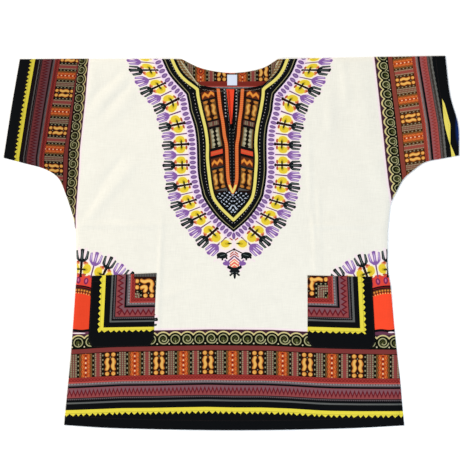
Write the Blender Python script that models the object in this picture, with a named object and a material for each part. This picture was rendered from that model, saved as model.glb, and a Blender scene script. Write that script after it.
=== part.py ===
"""A short-sleeved dashiki shirt of printed cotton, laid flat on its back with the front up.

Metres, +Z up. The neck points to +Y and the hem to -Y. The body is cut in one with its sleeves and
folded along the shoulders, so the front and the back are the two halves of one cut, lying on each
other. The shirt rests on the back, whose underside is the plane z = 0.
"""

from collections import namedtuple

import bpy
import numpy as np
from mathutils import Vector
from mathutils.geometry import delaunay_2d_cdt

MM = 0.001

# Driving sizes of the garment, in metres
CLOTH = 1.2 * MM
THIN_CLOTH = 1.0 * MM
GAP = 0.3 * MM
FACING_WIDTH = 34 * MM
FACING_INSET = 0.8 * MM
FACING_END = 8 * MM
LABEL_WIDTH = 17 * MM
LABEL_LENGTH = 23 * MM
LABEL_TOP = 351 * MM
LABEL_X = 1.4 * MM

# How the front lies on the back: its greatest height, and how far from a seam it gets there
BILLOW = 1.3 * MM
SETTLE = 55 * MM
HELD_DOWN = 12 * MM
MOST_RISE = 3.5 * MM
LEAST_END = 0.35
NECK_RISE = 1.5 * MM
NECK_FLAT = 34 * MM
NECK_FADE = 60 * MM
MOUTH_RISE = 0.6 * MM
MOUTH_FADE = 45 * MM

# Spacing of the points that carry the form
EDGE_STEP = 14 * MM
GRID_STEP = 17 * MM
LEAST_STEP = 5 * MM
CLEAR_OF_EDGE = 7 * MM
SHARP_ANGLE = np.radians(40)

Crease = namedtuple("Crease", "place foot")
Fold = namedtuple("Fold", "x0 y0 x1 y1 height half_width")
Wave = namedtuple("Wave", "length_x length_y phase height")

# Runs of the outline, each from one corner to the next: x and y in millimetres
LEFT_CUFF = ((-444, 386), (-462, 282), (-478, 179))
LEFT_UNDERARM = (
    (-478, 179), (-436, 168), (-393, 156), (-363, 136), (-347, 101), (-332, 55), (-327, 27),
)
LEFT_SIDE = ((-327, 27), (-324, -61), (-327, -97), (-333, -185), (-338, -250), (-346, -330), (-351, -382))
HEM = ((-351, -382), (-230, -389), (8, -393), (240, -389), (354, -381))
RIGHT_SIDE = ((354, -381), (351, -330), (348, -280), (341, -185), (335, -97), (328, -50), (328, 27))
RIGHT_UNDERARM = (
    (328, 27), (334, 80), (346, 107), (361, 134), (382, 153), (407, 170), (440, 177), (478, 184),
)
RIGHT_CUFF = ((478, 184), (476, 248), (459, 311), (449, 393))
SHOULDER_RIGHT = ((449, 393), (270, 390), (98, 386))
SHOULDER_LEFT = ((-104, 386), (-270, 387), (-444, 386))
BACK_NECK = ((98, 386), (62, 366), (1, 357), (-60, 366), (-104, 386))
FRONT_NECK_RIGHT = ((98, 386), (84, 352), (64, 329))
FRONT_NECK_MIDDLE_RIGHT = ((64, 329), (40, 324), (10, 323))
SLIT = ((10, 323), (8, 280), (2, 231), (-4, 280), (-8, 323))
FRONT_NECK_MIDDLE_LEFT = ((-8, 323), (-35, 323), (-60, 326))
FRONT_NECK_LEFT = ((-60, 326), (-82, 351), (-104, 386))

# Low on the right the back reaches past the front
BACK_HEM = ((-351, -382), (-230, -389), (8, -393), (240, -389), (363, -383))
BACK_RIGHT_SIDE = (
    (363, -383), (358, -330), (354, -285), (343, -185), (335, -97), (328, -50), (328, 27),
)

POCKET_LEFT = ((-293, -69), (-157, -63), (-163, -194), (-171, -217), (-300, -219))
POCKET_RIGHT = ((295, -71), (160, -68), (160, -191), (166, -217), (302, -221))

# Where pressed creases cross the whole panel, and how far their feet reach, in millimetres
PRESSED_COLUMNS = (Crease(-152, 7), Crease(170, 7), Crease(184, 6))
PRESSED_ROWS = (Crease(37, 9),)

# The largest folds, as soft ridges on straight lines, in millimetres
FOLDS = (
    Fold(-147, 62, -155, -190, 1.5, 7),
    Fold(-153, -225, -152, -392, 0.9, 7),
    Fold(163, 226, 164, 62, 1.2, 7),
    Fold(170, 62, 177, -62, 1.6, 7),
    Fold(182, 110, 186, -66, 1.1, 5),
    Fold(178, -230, 178, -390, 0.8, 7),
    Fold(-322, 37, -120, 37, 1.4, 7),
    Fold(165, 36, 328, 37, 1.3, 7),
    Fold(-223, 348, -288, 276, 1.4, 14),
    Fold(-205, 318, -262, 246, 1.2, 16),
    Fold(-286, 372, -302, 296, 0.9, 13),
    Fold(-206, 166, -304, 46, 1.4, 13),
    Fold(206, 318, 206, 232, 1.2, 15),
    Fold(234, 384, 242, 296, 1.3, 13),
    Fold(262, 386, 290, 236, 1.4, 26),
    Fold(330, 96, 292, 178, 1.0, 16),
    Fold(-152, -120, -92, -93, 1.0, 9),
    Fold(-330, -262, -322, -372, 1.0, 12),
    Fold(330, -268, 338, -372, 1.0, 12),
    Fold(461, 330, 469, 192, 1.8, 11),
    Fold(420, 250, 404, 384, 0.9, 13),
    Fold(-420, 190, -404, 372, 0.9, 14),
)

# Broad uneven swell of the laid cloth, in millimetres
WAVES = (
    Wave(410, 290, 0.4, 0.28),
    Wave(-230, 520, 1.9, 0.22),
    Wave(640, -180, 4.1, 0.20),
    Wave(150, 330, 2.7, 0.12),
)

WHITE_COTTON = (0.90, 0.87, 0.80, 1.0)
PRINTED_BORDER = (0.045, 0.035, 0.035, 1.0)
INNER_STRIP = (0.36, 0.10, 0.06, 1.0)
PALE_LABEL = (0.78, 0.82, 0.90, 1.0)


def clear_scene():
    for old in list(bpy.data.objects):
        bpy.data.objects.remove(old, do_unlink=True)


def smooth_run(corner_to_corner, step=EDGE_STEP):
    """Points in metres along a smooth curve through the given ones, about one step apart, both ends kept."""
    given = np.array(corner_to_corner, float) * MM
    before = 2 * given[0] - given[1]
    after = 2 * given[-1] - given[-2]
    padded = np.vstack([before, given, after])
    t = np.linspace(0, 1, 24, endpoint=False)[:, None]
    pieces = []
    for a, b, c, d in zip(padded, padded[1:], padded[2:], padded[3:]):
        pieces.append(
            0.5 * (2 * b + (c - a) * t + (2 * a - 5 * b + 4 * c - d) * t**2 + (3 * b - a - 3 * c + d) * t**3)
        )
    fine = np.vstack([*pieces, given[-1:]])
    along = np.concatenate([[0], np.cumsum(np.linalg.norm(np.diff(fine, axis=0), axis=1))])
    count = max(1, round(along[-1] / step))
    stops = np.linspace(0, along[-1], count + 1)
    return np.column_stack([np.interp(stops, along, fine[:, axis]) for axis in (0, 1)])


def closed_loop(*runs, step=EDGE_STEP):
    """The runs end to end as one ring, each corner once."""
    return np.vstack([smooth_run(run, step)[:-1] for run in runs])


def straight_loop(corners, step=EDGE_STEP):
    """A ring with straight sides between the corners."""
    sides = zip(corners, corners[1:] + corners[:1])
    return np.vstack([smooth_run(side, step)[:-1] for side in sides])


def inside(points, ring):
    """True for each point that the ring encloses, by the even-odd rule."""
    x, y = points[:, :1], points[:, 1:2]
    x0, y0 = ring[:, 0], ring[:, 1]
    x1, y1 = np.roll(x0, -1), np.roll(y0, -1)
    rising = (y0 <= y) != (y1 <= y)
    run = np.where(y1 == y0, 1, y1 - y0)
    crossing = x0 + (y - y0) * (x1 - x0) / run
    return (rising & (x < crossing)).sum(axis=1) % 2 == 1


def distance_to(points, start, end):
    """The distance from each point to each segment, and where along it the nearest place is, from 0 to 1."""
    span = end - start
    along = ((points[:, None] - start) * span).sum(axis=2) / (span**2).sum(axis=1)
    along = along.clip(0, 1)
    nearest = start + along[..., None] * span
    return np.linalg.norm(points[:, None] - nearest, axis=2), along


def distance_to_ring(points, ring):
    return distance_to(points, ring, np.roll(ring, -1, axis=0))[0].min(axis=1)


def smooth_step(value):
    value = np.clip(value, 0, 1)
    return value * value * (3 - 2 * value)


def plan_of(rings, spare_points=()):
    """Triangles over all the rings, which stay whole as edges. Gives the points and the faces."""
    points = [tuple(p) for ring in rings for p in ring]
    edges, first = [], 0
    for ring in rings:
        count = len(ring)
        edges += [(first + i, first + (i + 1) % count) for i in range(count)]
        first += count
    points += [tuple(p) for p in spare_points]
    made = delaunay_2d_cdt([Vector(p) for p in points], edges, [], 0, 1e-7)
    return np.array([tuple(p) for p in made[0]]), np.array(made[2])


def spare_grid(rings):
    """Rows and columns of points, clear of every ring's edge, closer beside the pressed creases."""
    corners = np.vstack(rings)
    low, high = corners.min(axis=0), corners.max(axis=0)
    columns = crease_stops(low[0], high[0], PRESSED_COLUMNS)
    rows = crease_stops(low[1], high[1], PRESSED_ROWS)
    grid = np.array([(x, y) for y in rows for x in columns])
    near = np.min([distance_to_ring(grid, ring) for ring in rings], axis=0)
    return grid[near > CLEAR_OF_EDGE]


def crease_stops(low, high, creases):
    """Even stops from low to high, with the nearest ones moved onto each crease and its two feet."""
    stops = list(np.arange(low + GRID_STEP / 2, high, GRID_STEP))
    for crease in creases:
        middle, foot = crease.place * MM, crease.foot * MM
        stops = [stop for stop in stops if abs(stop - middle) > foot + LEAST_STEP]
        stops += [middle - foot, middle, middle + foot]
    return sorted(stops)


def rise_of(points, seams, neck_line):
    """How much higher the front's underside lies than where it touches the back."""
    edge = distance_to_ring(points, seams)
    settled = 1 - np.exp(-((edge / SETTLE) ** 2))
    height = BILLOW * settled
    x, y = points[:, 0] / MM, points[:, 1] / MM
    for wave in WAVES:
        height += settled * wave.height * MM * np.sin(
            2 * np.pi * (x / wave.length_x + y / wave.length_y) + wave.phase
        )
    held_down = smooth_step(edge / HELD_DOWN)
    for fold in FOLDS:
        start = np.array([[fold.x0, fold.y0]]) * MM
        end = np.array([[fold.x1, fold.y1]]) * MM
        away, along = distance_to(points, start, end)
        away, along = away[:, 0], along[:, 0]
        profile = np.exp(-((away / (fold.half_width * MM)) ** 2))
        ends = LEAST_END + (1 - LEAST_END) * np.sqrt(np.sin(np.pi * along))
        height += held_down * fold.height * MM * profile * ends
    from_neck = distance_to(points, neck_line[:-1], neck_line[1:])[0].min(axis=1)
    height += NECK_RISE * smooth_step(1 - (from_neck - NECK_FLAT) / NECK_FADE)
    return np.minimum(height, MOST_RISE)


def wall(name, points, faces, under, over, colour, roughness):
    """A closed sheet: the plan's faces at the heights over and under, and a rim along its border."""
    used, index = np.unique(faces, return_inverse=True)
    faces = index.reshape(-1, 3)
    points, under, over = points[used], under[used], over[used]
    a, b, c = (points[faces[:, i]] for i in range(3))
    turn = (b[:, 0] - a[:, 0]) * (c[:, 1] - a[:, 1]) - (b[:, 1] - a[:, 1]) * (c[:, 0] - a[:, 0])
    faces = np.where((turn < 0)[:, None], faces[:, ::-1], faces)
    count = len(points)
    edges = [(int(f[i]), int(f[(i + 1) % 3])) for f in faces for i in range(3)]
    known = set(edges)
    border = [(i, j) for i, j in edges if (j, i) not in known]
    rim = [(j, i, i + count, j + count) for i, j in border]
    verts = np.vstack([np.column_stack([points, over]), np.column_stack([points, under])])
    polygons = [tuple(int(v) for v in f) for f in faces]
    polygons += [tuple(int(v) + count for v in f[::-1]) for f in faces]
    polygons += rim
    mesh = bpy.data.meshes.new(name)
    mesh.from_pydata([tuple(v) for v in verts], [], polygons)
    mesh.update()
    mesh.shade_smooth()
    mesh.set_sharp_from_angle(angle=SHARP_ANGLE)
    piece = bpy.data.objects.new(name, mesh)
    bpy.context.scene.collection.objects.link(piece)
    mesh.materials.append(cloth_material(name, colour, roughness))
    return piece


def cloth_material(name, colour, roughness):
    material = bpy.data.materials.new(name)
    material.use_nodes = True
    shader = material.node_tree.nodes["Principled BSDF"]
    shader.inputs["Base Color"].default_value = colour
    shader.inputs["Roughness"].default_value = roughness
    shader.inputs["Metallic"].default_value = 0.0
    return material


def faces_inside(points, faces, ring):
    centres = points[faces].mean(axis=1)
    return faces[inside(centres, ring)]


def make_back():
    """The back half of the cut, flat from end to end. It carries everything else."""
    ring = closed_loop(
        LEFT_CUFF, LEFT_UNDERARM, LEFT_SIDE, BACK_HEM, BACK_RIGHT_SIDE, RIGHT_UNDERARM, RIGHT_CUFF,
        SHOULDER_RIGHT, BACK_NECK, SHOULDER_LEFT,
    )
    points, faces = plan_of([ring])
    faces = faces_inside(points, faces, ring)
    level = np.zeros(len(points))
    wall("back", points, faces, level, level + CLOTH, WHITE_COTTON, 0.85)


def make_front():
    """The front half of the cut, and the two patch pockets made from its own points, moved out."""
    ring = closed_loop(
        LEFT_CUFF, LEFT_UNDERARM, LEFT_SIDE, HEM, RIGHT_SIDE, RIGHT_UNDERARM, RIGHT_CUFF,
        SHOULDER_RIGHT, FRONT_NECK_RIGHT, FRONT_NECK_MIDDLE_RIGHT, SLIT[:3], SLIT[2:],
        FRONT_NECK_MIDDLE_LEFT, FRONT_NECK_LEFT, SHOULDER_LEFT,
    )
    seams = closed_loop(
        LEFT_CUFF, LEFT_UNDERARM, LEFT_SIDE, HEM, RIGHT_SIDE, RIGHT_UNDERARM, RIGHT_CUFF,
        SHOULDER_RIGHT, ((98, 386), (-104, 386)), SHOULDER_LEFT,
    )
    pockets = {"pocket_left": POCKET_LEFT, "pocket_right": POCKET_RIGHT}
    pocket_rings = {name: straight_loop(corners) for name, corners in pockets.items()}
    rings = [ring, *pocket_rings.values()]
    points, faces = plan_of(rings, spare_grid(rings))
    faces = faces_inside(points, faces, ring)
    neck_line = smooth_run(BACK_NECK)
    under = CLOTH + GAP + rise_of(points, seams, neck_line)
    over = under + CLOTH
    wall("front", points, faces, under, over, WHITE_COTTON, 0.85)
    for name, pocket in pocket_rings.items():
        mouth = pocket[:, 1].max()
        lift = MOUTH_RISE * smooth_step(1 - (mouth - points[:, 1]) / MOUTH_FADE)
        pocket_under = over + GAP
        wall(
            name, points, faces_inside(points, faces, pocket), pocket_under + lift,
            pocket_under + lift + CLOTH, PRINTED_BORDER, 0.8,
        )


def make_neck_facing():
    """The strip inside the back's neck, which follows the neckline from shoulder to shoulder."""
    upper = smooth_run(BACK_NECK)
    ahead = np.gradient(upper, axis=0)
    out = np.column_stack([-ahead[:, 1], ahead[:, 0]]) / np.linalg.norm(ahead, axis=1)[:, None]
    lower = upper + out * FACING_WIDTH
    lower[:, 1] = np.minimum(lower[:, 1], upper[0, 1] - FACING_END)
    folded = upper + out * FACING_INSET
    folded[[0, -1], 1] -= 2 * FACING_INSET
    ring = np.vstack([folded, lower[::-1]])
    points, faces = plan_of([ring])
    faces = faces_inside(points, faces, ring)
    level = np.full(len(points), CLOTH + GAP)
    wall("neck_facing", points, faces, level, level + THIN_CLOTH, INNER_STRIP, 0.85)


def make_neck_label():
    """The blank label on the facing, in the middle of the back's neck."""
    low = LABEL_TOP - LABEL_LENGTH
    left, right = LABEL_X - LABEL_WIDTH / 2, LABEL_X + LABEL_WIDTH / 2
    ring = np.array([(left, low), (right, low), (right, LABEL_TOP), (left, LABEL_TOP)])
    points, faces = plan_of([ring])
    level = np.full(len(points), CLOTH + THIN_CLOTH + 2 * GAP)
    wall("neck_label", points, faces, level, level + THIN_CLOTH, PALE_LABEL, 0.6)


clear_scene()
make_back()
make_front()
make_neck_facing()
make_neck_label()
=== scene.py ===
"""The looks of the dashiki shirt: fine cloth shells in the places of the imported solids.

Lengths in the tables are in millimetres, in the part's own frame. The print is worked out by the
materials' nodes from coordinates that each mesh carries: how far along and up a border a place lies,
or how far out from the neck's dark edge.
"""

from collections import namedtuple

import bpy
import numpy as np
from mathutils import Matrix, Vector
from mathutils.geometry import delaunay_2d_cdt
from mathutils.kdtree import KDTree


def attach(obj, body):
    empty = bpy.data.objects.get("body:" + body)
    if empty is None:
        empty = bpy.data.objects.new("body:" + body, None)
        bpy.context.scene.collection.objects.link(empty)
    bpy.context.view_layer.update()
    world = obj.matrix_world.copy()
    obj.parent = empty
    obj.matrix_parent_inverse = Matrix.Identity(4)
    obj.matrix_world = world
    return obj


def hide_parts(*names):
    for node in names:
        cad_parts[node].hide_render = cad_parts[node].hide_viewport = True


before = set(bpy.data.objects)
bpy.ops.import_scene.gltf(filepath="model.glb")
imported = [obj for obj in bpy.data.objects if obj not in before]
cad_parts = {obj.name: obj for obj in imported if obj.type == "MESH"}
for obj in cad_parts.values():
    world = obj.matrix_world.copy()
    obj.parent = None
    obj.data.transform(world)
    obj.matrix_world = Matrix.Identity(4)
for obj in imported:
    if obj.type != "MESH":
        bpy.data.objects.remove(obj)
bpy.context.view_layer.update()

MM = 0.001

# The cut of the garment: runs of the outline, each from one corner to the next
LEFT_CUFF = ((-444, 386), (-462, 282), (-478, 179))
LEFT_UNDERARM = (
    (-478, 179), (-436, 168), (-393, 156), (-363, 136), (-347, 101), (-332, 55), (-327, 27),
)
LEFT_SIDE = ((-327, 27), (-324, -61), (-327, -97), (-333, -185), (-338, -250), (-346, -330), (-351, -382))
HEM = ((-351, -382), (-230, -389), (8, -393), (240, -389), (354, -381))
RIGHT_SIDE = ((354, -381), (351, -330), (348, -280), (341, -185), (335, -97), (328, -50), (328, 27))
RIGHT_UNDERARM = (
    (328, 27), (334, 80), (346, 107), (361, 134), (382, 153), (407, 170), (440, 177), (478, 184),
)
RIGHT_CUFF = ((478, 184), (476, 248), (459, 311), (449, 393))
SHOULDER_RIGHT = ((449, 393), (270, 390), (98, 386))
SHOULDER_LEFT = ((-104, 386), (-270, 387), (-444, 386))
BACK_NECK = ((98, 386), (62, 366), (1, 357), (-60, 366), (-104, 386))
# The front's neck from right to left, with both sides of the slit
FRONT_NECK = (
    ((98, 386), (84, 352), (64, 329)),
    ((64, 329), (40, 324), (10, 323)),
    ((10, 323), (8, 280), (2, 231)),
    ((2, 231), (-4, 280), (-8, 323)),
    ((-8, 323), (-35, 323), (-60, 326)),
    ((-60, 326), (-82, 351), (-104, 386)),
)
BACK_HEM = ((-351, -382), (-230, -389), (8, -393), (240, -389), (363, -383))
BACK_RIGHT_SIDE = (
    (363, -383), (358, -330), (354, -285), (343, -185), (335, -97), (328, -50), (328, 27),
)
POCKET_LEFT = ((-293, -69), (-157, -63), (-163, -201), (-172, -217), (-292, -219.5), (-300.5, -205))
POCKET_RIGHT = ((295, -71), (160, -68), (160, -206), (172, -220.5), (293, -223.5), (302.5, -208))
FACING_WIDTH = 34
FACING_INSET = 0.8
FACING_END = 8
LABEL = ((-8.6, 331), (12, 331), (12, 353.2), (-8.6, 353.2))

# Thickness of the cloth that shows, and the heights of its top where it lies
SHELL = 0.5
BACK_TOP = 0.6
FACING_TOP = 1.1
LABEL_TOP = 1.5
EDGE_TOP = 1.15
LAID_TOP = 2.7
CURL = 9.0
POCKET_OVER = 0.9
POCKET_CURL = 4.0
POCKET_EDGE = 0.25
POCKET_SINK = 0.2
LABEL_BEND = 0.12
LABEL_CLOTH = 0.3
FACING_SHELL = 0.45

# How the front lies on the back
BILLOW = 1.3
SETTLE = 55.0
HELD_DOWN = 12.0
MOST_RISE = 3.5
LEAST_END = 0.35
NECK_RISE = 1.5
NECK_FLAT = 34.0
NECK_FADE = 60.0
NECK_EDGE_DROP = 1.7
MOUTH_RISE = 0.6
MOUTH_FADE = 45.0

Fold = namedtuple("Fold", "x0 y0 x1 y1 height half_width")
Wave = namedtuple("Wave", "length_x length_y phase height")

# The largest folds, as soft ridges on straight lines: x0, y0, x1, y1, height, half width
FOLDS = [Fold(*row) for row in (
    (-147, 62, -155, -190, 1.5, 5),
    (-153, -225, -152, -392, 0.9, 5),
    (163, 226, 164, 62, 1.2, 5),
    (170, 62, 177, -62, 1.6, 5),
    (182, 110, 186, -66, 1.1, 5),
    (178, -230, 178, -390, 0.8, 6),
    (-322, 37, -120, 37, 1.4, 6),
    (165, 36, 328, 37, 1.3, 6),
    (-223, 348, -288, 276, 1.4, 13),
    (-205, 318, -262, 246, 1.2, 14),
    (-286, 372, -302, 296, 0.9, 12),
    (-206, 166, -304, 46, 1.4, 12),
    (206, 318, 206, 232, 1.2, 14),
    (234, 384, 242, 296, 1.3, 12),
    (262, 386, 290, 236, 1.4, 24),
    (330, 96, 292, 178, 1.0, 15),
    (-152, -120, -92, -93, 1.0, 9),
    (-330, -262, -322, -372, 1.0, 12),
    (330, -268, 338, -372, 1.0, 12),
    (461, 330, 469, 192, 1.8, 10),
    (420, 250, 404, 384, 0.9, 12),
    (-420, 190, -404, 372, 0.9, 13),
)]

# Broad uneven swell of the laid cloth
WAVES = (
    Wave(410, 290, 0.4, 0.28),
    Wave(-230, 520, 1.9, 0.22),
    Wave(640, -180, 4.1, 0.20),
    Wave(150, 330, 2.7, 0.12),
)

# Finer creases in the same columns, shallow troughs where the height is below zero
CREASES = [Fold(*row) for row in (
    (-229, 363, -246, 345, -0.7, 6),
    (-246, 345, -288, 310, -0.7, 7),
    (-288, 310, -297, 286, -0.6, 7),
    (-213, 337, -220, 323, -0.7, 6),
    (-220, 323, -256, 292, -0.7, 7),
    (-256, 292, -266, 275, -0.5, 7),
    (-228, 182, -267, 132, -0.8, 7),
    (-267, 132, -311, 55, -0.8, 8),
    (-297, 50, -180, 50, -0.3, 7),
    (-322, 36, -180, 37, -0.5, 5),
    (-184, 37, -120, 35, -0.6, 4),
    (-306, 28, -257, 28, -0.4, 5),
    (-148, 63, -155, -57, -0.6, 4),
    (-150, -120, -94, -92, -0.4, 8),
    (162, 226, 163, 58, -0.4, 5),
    (165, 58, 176, -42, -0.7, 4),
    (179, 101, 186, -46, -0.4, 5),
    (195, 290, 196, 245, -0.5, 8),
    (228, 384, 228, 321, -0.4, 8),
    (244, 384, 244, 342, -0.4, 7),
    (228, 37, 327, 37, -0.7, 5),
    (186, 27, 302, 27, -0.3, 6),
    (-60, 30, 90, 34, -0.25, 6),
    (120, 332, 150, 260, -0.3, 9),
    (-110, -60, -60, -150, -0.25, 10),
    (60, -40, 118, -150, -0.25, 10),
)]

# Spacing of the points that carry the form
EDGE_STEP = 3.6
FRONT_STEP = 4.4
BACK_STEP = 8.0
SMALL_STEP = 3.2
COARSE_STEP = 14.0
CLEAR_OF_LINE = 0.45
SHARP_ANGLE = np.radians(40)


# Plan of the cloth

def smooth_run(corner_to_corner, step=EDGE_STEP):
    """Points along a smooth curve through the given ones, about one step apart, both ends kept."""
    given = np.array(corner_to_corner, float)
    before = 2 * given[0] - given[1]
    after = 2 * given[-1] - given[-2]
    padded = np.vstack([before, given, after])
    t = np.linspace(0, 1, 24, endpoint=False)[:, None]
    pieces = []
    for a, b, c, d in zip(padded, padded[1:], padded[2:], padded[3:]):
        squared, cubed = 2 * a - 5 * b + 4 * c - d, 3 * b - a - 3 * c + d
        pieces.append(0.5 * (2 * b + (c - a) * t + squared * t**2 + cubed * t**3))
    fine = np.vstack([*pieces, given[-1:]])
    along = np.concatenate([[0], np.cumsum(np.linalg.norm(np.diff(fine, axis=0), axis=1))])
    count = max(1, round(along[-1] / step))
    stops = np.linspace(0, along[-1], count + 1)
    return np.column_stack([np.interp(stops, along, fine[:, axis]) for axis in (0, 1)])


def closed_loop(*runs, step=EDGE_STEP):
    """The runs end to end as one ring, each corner once."""
    return np.vstack([smooth_run(run, step)[:-1] for run in runs])


def joined(runs, step=5.0):
    """The runs end to end as one open line, each corner once."""
    last = np.array(runs[-1][-1:], float)
    return np.vstack([*(smooth_run(run, step)[:-1] for run in runs), last])


def straight_loop(corners, step=EDGE_STEP):
    """A ring with straight sides between the corners."""
    sides = zip(corners, corners[1:] + corners[:1])
    return np.vstack([smooth_run(side, step)[:-1] for side in sides])


def nearest_on(points, line, closed=False):
    """For each point: its distance to the line, and how far along the line the nearest place is."""
    ends = np.roll(line, -1, axis=0) if closed else line[1:]
    starts = line if closed else line[:-1]
    span = ends - starts
    length = np.linalg.norm(span, axis=1)
    before = np.concatenate([[0], np.cumsum(length)[:-1]])
    distances, places = [], []
    for chunk in np.array_split(points, max(1, len(points) // 4000)):
        along = ((chunk[:, None] - starts) * span).sum(axis=2) / (length**2)
        along = along.clip(0, 1)
        away = np.linalg.norm(chunk[:, None] - starts - along[..., None] * span, axis=2)
        best = away.argmin(axis=1)
        rows = np.arange(len(chunk))
        distances.append(away[rows, best])
        places.append(before[best] + along[rows, best] * length[best])
    return np.concatenate(distances), np.concatenate(places)


def smooth_step(value):
    value = np.clip(value, 0, 1)
    return value * value * (3 - 2 * value)


def lattice(low, high, step):
    """Rows of points in even triangles."""
    rows = np.arange(low[1], high[1], step * np.sqrt(3) / 2)
    columns = np.arange(low[0], high[0], step)
    return np.array([(x + (i % 2) * step / 2, y) for i, y in enumerate(rows) for x in columns])


def plan_of(ring, lines=(), step=FRONT_STEP):
    """Triangles that fill the ring, with the lines kept as edges."""
    points = [tuple(p) for p in ring]
    count = len(ring)
    edges = [(i, (i + 1) % count) for i in range(count)]
    for line in lines:
        first = len(points)
        points += [tuple(p) for p in line]
        edges += [(first + i, first + i + 1) for i in range(len(line) - 1)]
    tree = KDTree(len(points))
    for i, (x, y) in enumerate(points):
        tree.insert((x, y, 0), i)
    tree.balance()
    spare = lattice(ring.min(axis=0), ring.max(axis=0), step)
    clear = CLEAR_OF_LINE * step
    points += [tuple(p) for p in spare if tree.find((p[0], p[1], 0))[2] > clear]
    made = delaunay_2d_cdt([Vector(p) for p in points], edges, [], 1, 1e-6)
    return np.array([tuple(p) for p in made[0]]), np.array(made[2])


# How the cloth lies

FRONT_RING = (
    LEFT_CUFF, LEFT_UNDERARM, LEFT_SIDE, HEM, RIGHT_SIDE, RIGHT_UNDERARM, RIGHT_CUFF, SHOULDER_RIGHT,
    *FRONT_NECK, SHOULDER_LEFT,
)
BACK_RING = (
    LEFT_CUFF, LEFT_UNDERARM, LEFT_SIDE, BACK_HEM, BACK_RIGHT_SIDE, RIGHT_UNDERARM, RIGHT_CUFF,
    SHOULDER_RIGHT, BACK_NECK, SHOULDER_LEFT,
)
SEAMS = closed_loop(
    LEFT_CUFF, LEFT_UNDERARM, LEFT_SIDE, HEM, RIGHT_SIDE, RIGHT_UNDERARM, RIGHT_CUFF,
    SHOULDER_RIGHT, ((98, 386), (-104, 386)), SHOULDER_LEFT, step=COARSE_STEP,
)
NECK_EDGE = joined(FRONT_NECK)


def folds_over(points, folds, held_down):
    x, y = points.T
    height = np.zeros(len(points))
    for fold in folds:
        dx, dy = fold.x1 - fold.x0, fold.y1 - fold.y0
        along = ((x - fold.x0) * dx + (y - fold.y0) * dy) / (dx * dx + dy * dy)
        along = along.clip(0, 1)
        away = np.hypot(x - fold.x0 - along * dx, y - fold.y0 - along * dy)
        ends = LEAST_END + (1 - LEAST_END) * np.sqrt(np.sin(np.pi * along))
        height += fold.height * np.exp(-((away / fold.half_width) ** 2)) * ends
    return height * held_down


def front_top(points):
    """The height of the front's upper side at each point, in millimetres."""
    edge, _ = nearest_on(points, SEAMS, closed=True)
    settled = 1 - np.exp(-((edge / SETTLE) ** 2))
    height = BILLOW * settled
    x, y = points.T
    for wave in WAVES:
        swell = np.sin(2 * np.pi * (x / wave.length_x + y / wave.length_y) + wave.phase)
        height += settled * wave.height * swell
    height += folds_over(points, FOLDS, smooth_step(edge / HELD_DOWN))
    back_neck, _ = nearest_on(points, smooth_run(BACK_NECK, COARSE_STEP))
    height += NECK_RISE * smooth_step(1 - (back_neck - NECK_FLAT) / NECK_FADE)
    height = np.minimum(height, MOST_RISE)
    height += folds_over(points, CREASES, smooth_step(edge / HELD_DOWN))
    neck, _ = nearest_on(points, NECK_EDGE)
    height -= NECK_EDGE_DROP * (1 - smooth_step(neck / CURL))
    base = EDGE_TOP + (LAID_TOP - EDGE_TOP) * np.sqrt(smooth_step(edge / CURL))
    return base + np.maximum(height, 0)


# Meshes

def placed(name, mesh):
    piece = bpy.data.objects.new(name, mesh)
    bpy.context.scene.collection.objects.link(piece)
    return piece


def shell(name, points, faces, top, thickness, regions=None, materials=(), places=None):
    """A closed sheet: the plan's faces at the top height and a thickness below, with a rim.

    regions gives each face's material, and places the print coordinates of each point by name.
    """
    used, index = np.unique(faces, return_inverse=True)
    faces = index.reshape(-1, 3)
    points, top = points[used], top[used]
    under = top - thickness[used] if np.ndim(thickness) else top - thickness
    a, b, c = (points[faces[:, i]] for i in range(3))
    turn = (b[:, 0] - a[:, 0]) * (c[:, 1] - a[:, 1]) - (b[:, 1] - a[:, 1]) * (c[:, 0] - a[:, 0])
    faces = np.where((turn < 0)[:, None], faces[:, ::-1], faces)
    count = len(points)
    edges = [(int(f[i]), int(f[(i + 1) % 3])) for f in faces for i in range(3)]
    owner = {edge: number // 3 for number, edge in enumerate(edges)}
    border = [(i, j) for i, j in edges if (j, i) not in owner]
    rim = [(j, i, i + count, j + count) for i, j in border]
    verts = np.vstack([np.column_stack([points, top]), np.column_stack([points, under])]) * MM
    polygons = faces.tolist() + (faces[:, ::-1] + count).tolist() + rim
    mesh = bpy.data.meshes.new(name)
    mesh.from_pydata(verts.tolist(), [], polygons)
    for material in materials:
        mesh.materials.append(material)
    if regions is not None:
        slots = list(regions) + list(regions) + [regions[owner[edge]] for edge in border]
        mesh.polygons.foreach_set("material_index", [int(slot) for slot in slots])
    for place, values in (places or {}).items():
        attribute = mesh.attributes.new(place, "FLOAT_VECTOR", "POINT")
        both = np.vstack([values[used], values[used]])
        attribute.data.foreach_set("vector", both.astype(np.float32).ravel())
    mesh.update()
    mesh.shade_smooth()
    mesh.set_sharp_from_angle(angle=SHARP_ANGLE)
    return placed(name, mesh)


# Places in the border print: across (along the border), up (from its edge) and the count of spirals

BLOCK_PERIOD = 103.3
SPIRAL_PERIOD = 25.3
BORDER_TOP = 209.0
YELLOW_MIDDLE = 42.5
REGION_MARGIN = 7.0

# The hem's printed lines: height of the yellow band's middle and of the top line along the width
HEM_YELLOW = (
    (-351, -356.4), (-288, -354.3), (-230, -352), (-171, -351.5), (-112, -350.3), (-53, -349.4),
    (6, -350.7), (64, -350.7), (123, -352.8), (182, -356.6), (211, -357.8), (270, -358.5), (363, -358.3),
)
HEM_TOP = (
    (-351, -192), (-310, -190), (-285, -187.8), (-230, -184.8), (-150, -183.5), (-40, -181.5),
    (85, -182.5), (150, -186), (230, -188.6), (310, -190.4), (363, -191.2),
)
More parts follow.
